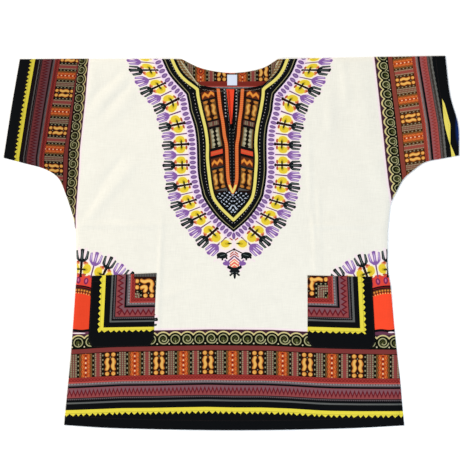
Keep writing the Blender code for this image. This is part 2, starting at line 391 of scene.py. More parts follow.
# Place along the blocks, and count of spirals, by place across the shirt
HEM_BLOCKS = (
    (-357, -206.6), (-305.6, -154.95), (-202.7, -51.65), (-100.7, 51.65), (2.6, 154.95),
    (107.8, 258.25), (210.9, 361.55), (318.3, 464.85), (371, 516.5),
)
HEM_SPIRALS = ((-372.3, -9), (-142.9, 0), (8.5, 6), (162.6, 12), (318.3, 18), (370, 20))

# The sleeves' printed lines, x by y: the left cuff and the left and right top lines. The print's own
# height goes by the length in from the cuff, and near the top line by the length out from that.
LEFT_CUFF_LINE = ((179, -478), (282, -462), (386, -444), (400, -441.6))
LEFT_TOP_LINE = ((55, -327), (150, -320), (195, -318.2), (300, -306.6), (386, -299.5), (400, -298.5))
LEFT_FROM_CUFF = (
    (0, 0), (19.2, 31.5), (24.2, 37.5), (32.1, 47.2), (41, 60.3), (43.6, 62.9), (45, 68), (47, 70.4),
    (48.3, 72.8), (66.7, 93.2), (69.5, 96.8), (74.5, 103.8), (83, 115), (85.6, 116), (124.4, 165.2),
)
LEFT_FROM_TOP = ((-28, 245), (0, 209), (1.4, 207.4), (13.7, 190.2), (22.5, 178.6), (24.3, 176.2))
RIGHT_TOP_LINE = (
    (27, 347), (82, 338), (124, 330.6), (150, 327.4), (180, 323.8), (215, 320.2), (250, 316.4),
    (387, 300.7), (400, 299.5),
)
RIGHT_FROM_TOP = (
    (-40, 249), (0, 209), (6.3, 204), (19.3, 190), (28.6, 175.8), (29.2, 175.2), (38, 166.2),
    (38.8, 165.2), (79.5, 116), (80.7, 115), (86.5, 103.8), (93, 96.8), (97, 93.2), (111, 72.8),
    (112.8, 70.4), (116.8, 68), (118.4, 62.9), (123.4, 60.3), (128, 50.5),
)
RIGHT_STRETCH = ((180, 1.045), (250, 1.05), (372, 0.985))
# On the right a little of the yellow band shows where the cuff turns: corners, anticlockwise
RIGHT_YELLOW = (
    ((442.3, 303), (444.2, 278), (446.2, 256), (449.4, 240), (457.5, 210), (459.5, 206), (459.8, 218),
     (459.6, 249), (447.6, 293)),
    ((458.8, 210), (463, 176), (473.5, 176)),
)
SLEEVE_SPIRAL_STEP = 19.75
LEFT_SPIRAL_AT = 363.3
RIGHT_SPIRAL_AT = 371.7
# Height on the shirt by place along the border, and how far the rows of blocks lean
LEFT_BLOCKS = (
    (118, -154.95), (157.5, -103.3), (196.9, -51.65), (236.5, 0), (276.2, 51.65), (315.5, 103.3),
    (352, 154.95), (400, 222),
)
RIGHT_BLOCKS = ((99.5, 309.9), (180.9, 206.6), (262.3, 103.3), (339.7, 0), (417, -103.3))
LEFT_LEAN = 0.05
RIGHT_LEAN = -0.15
BLOCK_DEPTH = 60.0


def table(rows):
    return np.array(rows, float).T


def hem_places(points):
    x, y = points.T
    yellow, top = np.interp(x, *table(HEM_YELLOW)), np.interp(x, *table(HEM_TOP))
    up = YELLOW_MIDDLE + (y - yellow) * (BORDER_TOP - YELLOW_MIDDLE) / (top - yellow)
    across, spirals = np.interp(x, *table(HEM_BLOCKS)), np.interp(x, *table(HEM_SPIRALS))
    return np.column_stack([across, up, spirals])


def left_sleeve_places(points):
    x, y = points.T
    from_cuff = x - np.interp(y, *table(LEFT_CUFF_LINE))
    from_top = np.interp(y, *table(LEFT_TOP_LINE)) - x
    low, high = LEFT_FROM_CUFF[-1], LEFT_FROM_TOP[-1]
    room = np.maximum(from_cuff + from_top - high[0] - low[0], 1)
    between = low[1] + (from_cuff - low[0]) / room * (high[1] - low[1])
    up = np.where(from_top < high[0], np.interp(from_top, *table(LEFT_FROM_TOP)), between)
    up = np.where(from_cuff < low[0], np.interp(from_cuff, *table(LEFT_FROM_CUFF)), up)
    level = y + LEFT_LEAN * (BLOCK_DEPTH - from_top)
    across = np.interp(level, *table(LEFT_BLOCKS))
    return np.column_stack([across, up, (y - LEFT_SPIRAL_AT) / SLEEVE_SPIRAL_STEP])


def right_sleeve_places(points):
    x, y = points.T
    depth = x - np.interp(y, *table(RIGHT_TOP_LINE))
    up = np.interp(depth / np.interp(y, *table(RIGHT_STRETCH)), *table(RIGHT_FROM_TOP))
    level = y + RIGHT_LEAN * (depth - BLOCK_DEPTH)
    across = np.interp(level, *table(RIGHT_BLOCKS))
    return np.column_stack([across, up, (RIGHT_SPIRAL_AT - y) / SLEEVE_SPIRAL_STEP])


# Places in the neck print, on a line that leans a little from the shirt's own middle

AXIS_X = -3.5
AXIS_Y = 382.6
AXIS_LEAN = 0.02345
BLACK_EDGE = (
    ((143, 394), (138.6, 382.6), (124, 351.8), (90.5, 312.9)),
    ((90.5, 312.9), (86.5, 291.9), (84.8, 277.8), (75.4, 245.7), (71.6, 216.3), (70.8, 184.8), (70.1, 147),
     (63.4, 108.4), (52.9, 88.2), (27.7, 53.6), (0, 25.5)),
)
YELLOW_LINE = (
    ((124, 394), (119.9, 382.6), (109.8, 360.6), (95.3, 342.9), (69.3, 322.8)),
    ((69.3, 322.8), (67.6, 304.1), (60.9, 270.9), (54, 239.4), (50.8, 208.5), (51.5, 177.7), (49.1, 147),
     (45.6, 116.1), (40.2, 94.5), (30.5, 79.8), (22.4, 70.2), (0, 48.3)),
)
ORANGE_LINE = (
    ((27, 335), (25.4, 321.3), (21.8, 281.4), (17.6, 254.7), (14.5, 224.7), (11.1, 205.8), (10.3, 178.5),
     (9.7, 147), (9, 134.4), (6.3, 120.8), (0, 105.8)),
)
# Each stem's root and tip: the distance from the print's middle line, and the height
STEMS = np.array((
    (160, 392, 190, 398),
    (152.7, 363.1, 181, 363.3),
    (136.7, 336.2, 163.3, 324),
    (111.3, 302, 139.5, 287.9),
    (97.3, 252.2, 128.1, 245.7),
    (91.9, 207.7, 123.3, 205.8),
    (91.4, 163.6, 122.4, 163.2),
    (91.6, 122.9, 121.1, 117.6),
    (81.8, 89.7, 114.1, 80),
    (61.7, 60.3, 87.8, 47.9),
    (34.2, 31.5, 52.2, 15.8),
    (0, -9.8, 22.7, -29.4),
), float)
FIRST_STEM = -1
LAST_BLACK_STEM = 9.55
NECK_REACH = 88.0
FINIAL_LOW = -78.0
FINIAL_HALF = 82.0


def from_axis(points):
    """Each point's signed distance from the neck print's own middle line, and its y."""
    x, y = points.T
    return x - (AXIS_X + AXIS_LEAN * (AXIS_Y - y)), y


def signed_to(flat, line):
    """Distance to a line that runs from the top down to the middle, above zero outside it."""
    away, _ = nearest_on(flat, line)
    a, y = flat.T
    low_to_high = line[::-1]
    within = (a < np.interp(y, low_to_high[:, 1], low_to_high[:, 0])) & (y > low_to_high[0, 1])
    return np.where(within, -away, away)


def neck_places(points):
    """Two triples a point: out from the black edge, along it and the count of stems; then the
    distances from the yellow and the orange lines, and the signed distance from the middle."""
    side, y = from_axis(points)
    flat = np.column_stack([np.abs(side), y])
    dark_edge = joined(BLACK_EDGE)
    out = signed_to(flat, dark_edge)
    last = dark_edge[-1] - dark_edge[-2]
    beyond = dark_edge[-1] + last * 40 / np.linalg.norm(last)
    _, along = nearest_on(flat, np.vstack([dark_edge, beyond]))
    along -= np.linalg.norm(np.diff(dark_edge, axis=0), axis=1).sum()
    yellow = signed_to(flat, joined(YELLOW_LINE))
    orange = signed_to(flat, joined(ORANGE_LINE))
    ray = STEMS[:, 2:] - STEMS[:, :2]
    ray /= np.linalg.norm(ray, axis=1)[:, None]
    rest = flat[:, None] - STEMS[:, :2]
    cross = ray[:, 0] * rest[..., 1] - ray[:, 1] * rest[..., 0]
    above = np.clip((cross < 0).sum(axis=1) - 1, 0, len(STEMS) - 2)
    rows = np.arange(len(points))
    here, there = cross[rows, above], cross[rows, above + 1]
    gap = here - there
    share = np.clip(here / np.where(np.abs(gap) < 1e-9, 1, gap), 0, 1)
    count = FIRST_STEM + above + share
    return np.column_stack([out, along, count]), np.column_stack([yellow, orange, side])


Arch = namedtuple("Arch", "x y turn stems")
ARCHES = (
    Arch(-326, -185, 1, (4.6, 25.9, 44.3, 63, 81.6)),
    Arch(329, -186, -1, (0, 20.8, 41, 61, 80)),
)
ARCH_DARK_LINE = 95.0
ARCH_FRINGE_SCALE = 1.04
ARCH_OVAL_STEP = 8.8
ARCH_REACH = 190.0


def arch_places(points):
    """The same first triple round the nearest side arch, then the radius and the angle."""
    x, y = points.T
    found = np.zeros((len(points), 5))
    for arch, chosen in zip(ARCHES, (x < 0, x >= 0)):
        dx, dy = (x[chosen] - arch.x) * arch.turn, y[chosen] - arch.y
        radius, angle = np.hypot(dx, dy), np.degrees(np.arctan2(dx, dy))
        out = (radius - ARCH_DARK_LINE) / ARCH_FRINGE_SCALE
        along = (angle - 2.6) / ARCH_OVAL_STEP * 9.7
        stems = (arch.stems[0] - 20, *arch.stems, arch.stems[-1] + 20)
        count = np.interp(angle, stems, range(-1, len(stems) - 1))
        found[chosen] = np.column_stack([out, along, count, radius, angle])
    return found[:, :3], np.column_stack([found[:, 3:], 0 * x])


# Numbers and colours worked out by nodes

class Field:
    """A number that a material works out at each place, written with Python's own signs.

    A comparison gives a mask: 1 where it holds and 0 elsewhere. & and | join masks, ~ turns one round.
    """

    def __init__(self, tree, socket):
        self.tree = tree
        self.socket = socket

    def math(self, operation, *others):
        node = self.tree.nodes.new("ShaderNodeMath")
        node.operation = operation
        for slot, value in zip(node.inputs, (self, *others)):
            if isinstance(value, Field):
                self.tree.links.new(value.socket, slot)
            else:
                slot.default_value = value
        return Field(self.tree, node.outputs[0])

    def __add__(self, other):
        return self.math("ADD", other)

    def __sub__(self, other):
        return self.math("SUBTRACT", other)

    def __rsub__(self, other):
        return self.math("MULTIPLY_ADD", -1.0, other)

    def __mul__(self, other):
        return self.math("MULTIPLY", other)

    def __truediv__(self, other):
        return self.math("DIVIDE", other)

    def __abs__(self):
        return self.math("ABSOLUTE")

    def __lt__(self, other):
        return self.math("LESS_THAN", other)

    def __gt__(self, other):
        return self.math("GREATER_THAN", other)

    def __and__(self, other):
        return self.math("MULTIPLY", other)

    def __or__(self, other):
        return self.math("MAXIMUM", other)

    def __invert__(self):
        return self.math("MULTIPLY_ADD", -1.0, 1.0)

    __radd__ = __add__
    __rmul__ = __mul__

    def near(self, place, reach):
        return self.math("COMPARE", place, reach)

    def between(self, low, high):
        return self.near((low + high) / 2, (high - low) / 2)

    def wrap(self, period):
        """From minus half a period to plus half, over and over."""
        return self.math("WRAP", period / 2, -period / 2)

    def swing(self, period):
        """From 0 to 1 and back in each period."""
        return self.math("PINGPONG", period / 2) * (2 / period)

    def wave(self, period, phase=0.0):
        return (self * (2 * np.pi / period) + phase).math("SINE")

    def rounded(self):
        return self.math("ROUND")

    def low_of(self, other):
        return self.math("MINIMUM", other)

    def high_of(self, other):
        return self.math("MAXIMUM", other)

    def to(self, other):
        """The length of the vector that these two numbers make."""
        return (self * self + other * other).math("SQRT")

    def turn_with(self, other):
        return self.math("ARCTAN2", other)

    def rise(self, low, high):
        """0 below low, 1 above high and smooth between."""
        node = self.tree.nodes.new("ShaderNodeMapRange")
        node.interpolation_type = "SMOOTHSTEP"
        self.tree.links.new(self.socket, node.inputs["Value"])
        node.inputs["From Min"].default_value = low
        node.inputs["From Max"].default_value = high
        return Field(self.tree, node.outputs["Result"])


def ellipse(x, y, half_x, half_y):
    return (x / half_x).to(y / half_y) < 1.0


def tint(red, green, blue):
    """A colour from the values 0 to 255 that it shows with."""
    values = []
    for part in (red, green, blue):
        share = part / 255
        values.append(share / 12.92 if share <= 0.04045 else ((share + 0.055) / 1.055) ** 2.4)
    return (*values, 1.0)


class Layers:
    """Printed colours, each laid over the last where its mask is 1."""

    def __init__(self, tree, ground):
        self.tree = tree
        self.ground = ground
        self.socket = None

    def add(self, colour, mask):
        mix = self.tree.nodes.new("ShaderNodeMix")
        mix.data_type = "RGBA"
        self.tree.links.new(mask.socket, mix.inputs[0])
        if self.socket is None:
            mix.inputs[6].default_value = self.ground
        else:
            self.tree.links.new(self.socket, mix.inputs[6])
        if isinstance(colour, Layers):
            self.tree.links.new(colour.socket, mix.inputs[7])
        else:
            mix.inputs[7].default_value = colour
        self.socket = mix.outputs[2]


def striped(tree, field, rows):
    """Flat stripes: each row gives where a stripe starts and its colour."""
    last = rows[-1][0] + 1
    ramp = tree.nodes.new("ShaderNodeValToRGB")
    ramp.color_ramp.interpolation = "CONSTANT"
    elements = ramp.color_ramp.elements
    while len(elements) > 1:
        elements.remove(elements[-1])
    for number, (start, colour) in enumerate(rows):
        element = elements[0] if number == 0 else elements.new(start / last)
        element.position = max(start, 0) / last
        element.color = colour
    share = field * (1 / last)
    tree.links.new(share.socket, ramp.inputs[0])
    layers = Layers(tree, None)
    layers.socket = ramp.outputs[0]
    return layers


COTTON = tint(238, 235, 224)
INK = tint(7, 9, 12)
GREEN_INK = tint(7, 11, 3)
RED_INK = tint(40, 12, 5)
YELLOW = tint(228, 212, 68)
PALE_YELLOW = tint(226, 212, 112)
SLATE = tint(92, 94, 92)
DUSK = tint(96, 84, 88)
ROSE = tint(140, 66, 68)
MAUVE = tint(124, 80, 88)
MAROON = tint(100, 22, 32)
ASH = tint(164, 156, 158)
PINK_RED = tint(180, 78, 72)
RED = tint(148, 52, 46)
DEEP_RED = tint(118, 22, 26)
BRICK = tint(122, 52, 50)
PLUM = tint(112, 72, 110)
BORDER_EDGE = tint(100, 54, 76)
DENSE_INK = tint(30, 6, 8)
SHADE_PLUM = tint(62, 36, 50)
MOSS = tint(68, 72, 34)
HALO = tint(244, 227, 230)
BONE = tint(214, 136, 56)
BONE_CORE = tint(240, 188, 98)
ORANGE = tint(192, 80, 32)
ORANGE_EDGE = tint(122, 84, 42)
APRICOT = tint(218, 128, 64)
TANGERINE = tint(216, 100, 54)
WARM_WHITE = tint(250, 208, 170)
SAGE = tint(150, 146, 116)
BROWN = tint(112, 66, 58)
CLAY = tint(144, 66, 62)
RUST_INK = tint(96, 48, 26)
CREAM = tint(164, 161, 118)
WARM_CREAM = tint(208, 193, 134)
# The bead colour also paints a highlight along the front's folded neck edge
BEAD_AND_EDGE_HIGHLIGHT = tint(200, 190, 158)
PURPLE = tint(132, 92, 160)
OVAL = tint(120, 87, 142)
LILAC = tint(206, 184, 224)
PALE_LILAC = tint(234, 212, 234)
BUD = tint(228, 200, 54)
BUD_DEEP = tint(196, 170, 34)
BUD_RIM = tint(246, 236, 196)
LEAF = tint(58, 62, 20)
RUST = tint(176, 80, 56)
EMBER = tint(226, 140, 84)
STEM_INK = tint(36, 12, 14)
ARCH_OVAL = tint(130, 40, 84)
ARCH_OVAL_CORE = tint(200, 104, 140)
CLAW_INK = tint(18, 24, 26)
CLAW_GREY = tint(96, 106, 104)
SCARLET = tint(238, 72, 42)
SCARLET_PINK = tint(220, 70, 58)
FINIAL_PINK = tint(234, 112, 98)
OLIVE_LINE = tint(152, 146, 106)
FRAME_BROWN = tint(28, 13, 10)
ICE = tint(190, 200, 216)
OVAL_CORE = tint(146, 118, 166)
FACING_RED = tint(116, 38, 30)
STRIP_YELLOW = tint(228, 212, 96)
NAVY_SHEEN = tint(14, 48, 116)
WARM_WASH = tint(190, 104, 40)
GREY_WASH = tint(122, 110, 98)
BRIGHT_RED = tint(240, 84, 54)
AMBER = tint(252, 164, 66)
RED_WASH = tint(200, 88, 70)
ARCH_RED = tint(250, 75, 43)
LABEL_WHITE = tint(214, 222, 240)
DARK_THREAD = tint(58, 44, 42)
PALE_THREAD = tint(226, 214, 196)

BORDER_STRIPES = (
    (0, INK), (39.6, YELLOW), (47.2, INK), (60.3, SLATE), (62.9, INK), (68.0, DUSK), (70.4, INK),
    (72.8, ROSE), (93.2, INK), (98.0, DUSK), (101.0, INK), (103.8, PINK_RED), (106.0, RED),
    (114.8, RED_INK), (166.2, BRICK), (175.2, GREEN_INK), (207.0, BORDER_EDGE), (209.0, HALO),
    (213.5, COTTON),
)


def uneven(tree, points, scale, size):
    """A soft random number of about plus or minus half the size."""
    noise = tree.nodes.new("ShaderNodeTexNoise")
    noise.inputs["Scale"].default_value = scale
    noise.inputs["Detail"].default_value = 1.0
    tree.links.new(points, noise.inputs["Vector"])
    return (Field(tree, noise.outputs[0]) - 0.5) * size


def block_layers(tree, across, up):
    """The row of blocks: bones, beaded strips and orange squares, the same from side to side."""
    step = across.wrap(BLOCK_PERIOD)
    fold = abs(step)
    half = BLOCK_PERIOD / 2
    middle = up - 141.0
    layers = Layers(tree, RED_INK)
    add = layers.add
    # The strips between the blocks, with a row of small beads
    seam = fold.between(13.4, 18.2) | fold.between(33.4, 38.2)
    add(GREEN_INK, seam)
    bead_row = fold.near(15.75, 1.3) | fold.near(35.8, 1.3)
    add(SAGE, bead_row & middle.wrap(9.5).near(0.0, 1.7))
    # Beaded strips, brown on one side of the bones and red on the other
    strip = fold - 25.8
    add(BROWN, strip.near(0.0, 6.9) & (step > 0.0))
    add(CLAY, strip.near(0.0, 6.9) & (step < 0.0))
    rungs = middle.wrap(3.8).near(0.0, 1.2)
    add(SAGE, abs(strip).near(5.2, 1.5) & rungs)
    add(SAGE, strip.near(0.0, 1.0) & rungs & (step > 0.0))
    # Orange squares with a middle row of white dots
    off = half - fold
    square = off < 13.2
    add(ORANGE, square)
    add(ORANGE_EDGE, off.between(9.6, 13.2))
    chain = (off - middle.wave(10.2) * 1.5).near(6.4, 0.8)
    add(APRICOT, chain & square)
    add(RUST_INK, (off - middle.wave(10.2, np.pi) * 1.4).near(9.6, 0.7) & square)
    add(DEEP_RED, ellipse(off, middle.wrap(10.2), 2.6, 1.5))
    add(WARM_WHITE, ellipse(off, (middle - 5.1).wrap(10.2), 1.7, 1.7))
    # Bones: a waved bar with a knob at each end, two side by side
    bone = fold - 6.5
    bar = (bone - middle.wave(17.0) * 1.3).to((abs(middle) - 9.8).high_of(0.0))
    knob_x, knob_y = bone, abs(middle) - 19.8
    within = fold < 13.2
    add(RUST_INK, ((bar < 5.0) | ellipse(knob_x, knob_y, 5.2, 5.2)) & within)
    add(RED_INK, abs(middle).near(14.6, 0.9) & within)
    add(BONE, (bar < 4.0) | ellipse(knob_x, knob_y, 4.5, 4.4))
    core = bar.to(bone * 0.6 + 1.0)
    add(BONE_CORE, (core < 2.9) | ellipse(knob_x - 0.4, knob_y - 0.4, 3.0, 2.9))
    add(BONE, ellipse(knob_x, knob_y, 1.1, 1.1))
    add(SAGE, ellipse(fold, abs(middle) - 14.6, 1.0, 1.2))
    return layers


def paint_border(tree, across, up, spirals=None, block_place=None, wobble=None, zigzag_step=8.4):
    """The printed border. across and up are in millimetres, and spirals counts them along it."""
    layers = striped(tree, up, BORDER_STRIPES)
    add = layers.add
    shifted = across if wobble is None else across + wobble
    # Teeth of the yellow band
    tooth = shifted.swing(11.8)
    add(YELLOW, (up > tooth * -5.8 + 39.8) & (up < 39.8))
    # Dashed line, zigzag, ticks and small crosses
    add(INK, across.wrap(4.2).near(0.0, 0.9) & up.between(68.0, 70.4))
    zigzag = up - (across.swing(zigzag_step) - 0.5) * 11.0
    add(MAUVE, (zigzag > 83.0) & up.between(76.0, 93.2))
    add(MAROON, zigzag.near(83.0, 3.1) & up.between(73.5, 92.4))
    add(ASH, across.wrap(3.2).near(0.0, 0.8) & up.between(100.6, 103.6))
    cross = (abs(across.wrap(7.0)) - abs(up - 110.2)).near(0.0, 0.8)
    add(DEEP_RED, cross & up.between(106.4, 114.0))
    # Blocks
    block_across, block_up = block_place or (across, up)
    blocks = block_layers(tree, block_across, block_up)
    add(blocks, up.between(116.0, 165.2) if spirals is not None else (up > 116.0))
    if spirals is None:
        return layers
    # Spirals in turn open and closed, each under its arc of the scallop
    number = spirals.rounded()
    x, y = (spirals - number) * SPIRAL_PERIOD, up - 190.2
    radius = x.to(y)
    turned = (y.turn_with(x) * (-1 / (2 * np.pi))).math("FRACT")
    closed_one = abs(number.wrap(2.0)) > 0.5
    add(MOSS, (radius + turned * 4.2).near(5.6, 1.2) & closed_one)
    add(MOSS, (radius < 2.4) | ((radius + turned * 3.0).near(6.4, 0.7) & ~closed_one))
    arm = radius - (turned * -1.0 + 0.25).high_of(0.0) * 12.0 + (turned - 0.75).high_of(0.0) * 8.0
    hook = (radius + turned * 12.0).near(7.0, 1.1) & (turned < 0.42)
    add(CREAM, (arm.near(8.9, 1.2) | hook) & ~closed_one)
    add(CREAM, radius.near(9.0, 1.0) & closed_one)
    add(CREAM, x.near(0.8, 0.8) & y.between(-7.0, -2.5) & closed_one)
    arc = x.to(up - 189.8)
    above = up > 197.6
    add(SHADE_PLUM, (arc > 15.4) & above & (up < 207.0))
    add(WARM_CREAM, arc.near(15.4, 1.4) & above & (up < 207.6))
    add(BEAD_AND_EDGE_HIGHLIGHT, ellipse(abs(x) - SPIRAL_PERIOD / 2, up - 180.8, 1.6, 1.6))
    return layers


def paint_fringe(layers, out, along, count, ground=None):
    """The row of ovals, stems, flowers and heads outside the neck's dark edge.

    A ground colour lies behind the ovals round the side arches.
    """
    add = layers.add
    black = count.wrap(1.0)
    violet = (count + 0.5).wrap(1.0)
    aside, aside_violet = abs(black), abs(violet)
    tips = (out + abs((count * 2.0).wrap(1.0)) * 14.0).rise(62.0, 80.0)
    add(HALO, ~tips & (out > 0.0))
    # Ovals, paler or darker in their middle
    if ground is None:
        add(PALE_LILAC, out.between(0.0, 20.0))
        oval_x, oval_y = (along + 1.5).wrap(9.7), out - 11.6
        ovals = (out < 19.0) & (along < 3.3)
        add(OVAL, ellipse(oval_x, oval_y, 3.8, 6.8) & ovals)
        add(OVAL_CORE, ellipse(oval_x, oval_y, 1.1, 3.9) & ovals)
        gap, gap_half = 15.0, 0.03
    else:
        add(ground, out.between(0.0, 25.0))
        oval_x, oval_y = along.wrap(9.7), out - 11.6
        add(ARCH_OVAL, ellipse(oval_x, oval_y, 2.9, 7.0))
        add(ARCH_OVAL_CORE, ellipse(oval_x, oval_y - 0.5, 1.0, 3.6))
        gap, gap_half = 19.0, 0.045
    shown = count < LAST_BLACK_STEM
    # Flowers on both sides of each black stem, with a dark eye
    from_stem = aside - 0.24
    add(BUD_RIM, ellipse(from_stem, out - 35.5, 0.22, 14.0) & shown)
    add(RUST, ellipse(aside - 0.16, out - 24.0, 0.1, 2.3) & shown)
    add(EMBER, ellipse(aside - 0.17, out - 47.0, 0.1, 3.4) & shown)
    add(BUD, ellipse(from_stem - 0.015, out - 36.5, 0.165, 9.6) & shown)
    add(BUD, ellipse(aside - 0.2, out - 30.0, 0.11, 4.4) & shown)
    add(BUD_DEEP, ellipse(aside - 0.17, out - 34.5, 0.12, 3.2) & shown)
    add(LEAF, ellipse(aside - 0.11, out - 34.0, 0.1, 1.9) & shown)
    add(RUST, ellipse(aside - 0.15, out - 49.0, 0.05, 2.2) & shown)
    # Purple stems and heads
    fan = (out - 60.0) * 0.0016
    within = out < 76.0
    add(PLUM, (aside_violet < 0.03) & out.between(20.0, 48.0))
    cup = ((out - 45.0).high_of(0.0) * (1 / 9.0)).math("SQRT").low_of(1.0) * 0.215
    prongs = (out + aside_violet * 22.0) < 74.5
    add(PURPLE, (aside_violet < cup) & out.between(45.0, 75.0) & prongs)
    add(LILAC, ellipse(aside_violet - fan - 0.165, out - 62.0, 0.018, 9.0))
    add(LILAC, ellipse(aside_violet, out - 61.0, 0.018, 8.5))
    add(HALO, ellipse(aside_violet - fan - 0.088, out - 73.0, gap_half, gap + 2.0) & within)
    # Black stems and heads
    add(STEM_INK, (aside < 0.055) & out.between(19.5, 52.0) & shown)
    add(STEM_INK, ellipse(aside, out - 20.0, 0.08, 2.6) & shown)
    cup = ((out - 48.0).high_of(0.0) * (1 / 8.0)).math("SQRT").low_of(1.0) * 0.23
    prongs = (out + aside * 20.0) < 76.0
    add(CLAW_INK, (aside < cup) & out.between(48.0, 78.0) & prongs & shown)
    add(CLAW_GREY, ellipse(aside - fan - 0.17, out - 63.0, 0.018, 9.5) & shown)
    add(CLAW_GREY, ellipse(aside, out - 63.0, 0.018, 9.5) & shown)
    between_prongs = aside - fan - 0.092
    gaps = ellipse(between_prongs, out - 74.0, gap_half + 0.004, gap)
    if ground is None:
        gaps = gaps | (between_prongs.near(0.0, 0.02) & (out > 58.0))
    add(HALO, gaps & (out < 78.0))


def line_mask(x, y, x0, y0, x1, y1, half):
    """1 within half a width of the segment between two places."""
    dx, dy = x1 - x0, y1 - y0
    length = float(np.hypot(dx, dy))
    ux, uy = dx / length, dy / length
    along = (x - x0) * ux + (y - y0) * uy
    away = (x - x0) * -uy + (y - y0) * ux
    return away.near(0.0, half) & along.between(0.0, length)


def shape_mask(x, y, corners):
    """1 inside a shape with no hollows, its corners given anticlockwise."""
    mask = None
    for (x0, y0), (x1, y1) in zip(corners, corners[1:] + corners[:1]):
        left_of_side = (y - y0) * (x1 - x0) - (x - x0) * (y1 - y0) > 0.0
        mask = left_of_side if mask is None else mask & left_of_side
    return mask


def paint_finial(layers, side, y):
    """What hangs below the point of the neck print."""
    add = layers.add
    a = abs(side)
    add(HALO, ellipse(a, y + 26.0, 24.0, 40.0))
    add(OVAL, ellipse(a, y - 15.0, 3.6, 7.2))
    add(PURPLE, ellipse(a, y - 15.0, 1.3, 3.4))
    add(BUD_RIM, ellipse(a - 17.0, y + 2.0, 13.0, 12.0))
    add(BUD, ellipse(a - 18.0, y + 1.5, 9.5, 8.0))
    add(PLUM, line_mask(a, y, 15.5, 12.5, 28.0, 1.0, 0.9))
    add(BUD_DEEP, ellipse(a - 13.0, y + 1.5, 6.0, 3.0))
    add(LEAF, ellipse(a - 9.0, y + 1.0, 4.5, 1.6))
    add(RUST, line_mask(a, y, 2.5, 6.0, 9.0, 10.5, 1.3))
    add(STEM_INK, line_mask(a, y, 0.0, -13.0, 17.0, -21.5, 1.2))
    add(STEM_INK, ellipse(a, y + 13.6, 2.6, 2.6))
    # Black heads to the left and right
    add(CLAW_INK, ellipse(a - 25.5, y + 26.0, 11.5, 7.0))
    add(CLAW_INK, line_mask(a, y, 18.0, -27.0, 15.5, -33.5, 1.9))
    add(CLAW_INK, line_mask(a, y, 23.5, -28.0, 25.5, -36.5, 1.9))
    add(CLAW_INK, line_mask(a, y, 29.0, -27.0, 36.0, -32.0, 1.9))
    add(CLAW_GREY, line_mask(a, y, 19.0, -24.0, 30.0, -27.0, 0.6))
    # Chevrons, the body and its tufts
    add(RUST, line_mask(a, y, 1.0, -18.0, 8.5, -24.0, 1.2))
    add(PINK_RED, line_mask(a, y, 0.0, -22.5, 9.5, -29.5, 1.2))
    add(PLUM, line_mask(a, y, 0.0, -27.5, 13.0, -38.5, 1.4))
    add(FINIAL_PINK, ellipse(a, y + 43.5, 10.0, 11.5))
    add(HALO, line_mask(a, y, 0.0, -31.5, 10.0, -39.5, 1.0))
    add(BUD_RIM, line_mask(a, y, 0.0, -37.0, 8.5, -44.0, 1.1))
    add(BUD_RIM, line_mask(a, y, 0.0, -44.5, 7.5, -50.5, 1.0))
    add(PURPLE, ellipse(a - 17.0, y + 43.0, 7.5, 4.4))
    add(PURPLE, line_mask(a, y, 14.0, -41.0, 20.5, -35.5, 1.6))
    add(PURPLE, line_mask(a, y, 12.0, -37.0, 14.0, -53.0, 1.7))
    add(CLAW_INK, line_mask(a, y, 14.5, -49.5, 2.0, -56.0, 3.2))
    add(CLAW_INK, line_mask(a, y, 0.0, -53.0, 6.0, -53.0, 1.6))
    add(CLAW_INK, ellipse(a, y + 64.0, 3.0, 11.5))
    add(CLAW_INK, ellipse(a, y + 59.5, 11.0, 4.6))
    add(CLAW_INK, line_mask(a, y, 0.0, -60.0, 10.5, -68.5, 2.0))
    add(CLAW_GREY, line_mask(a, y, 2.5, -61.5, 7.0, -63.5, 0.6))


LADDER_SLOPE = 0.25
LADDER_MIDDLE = 36.0


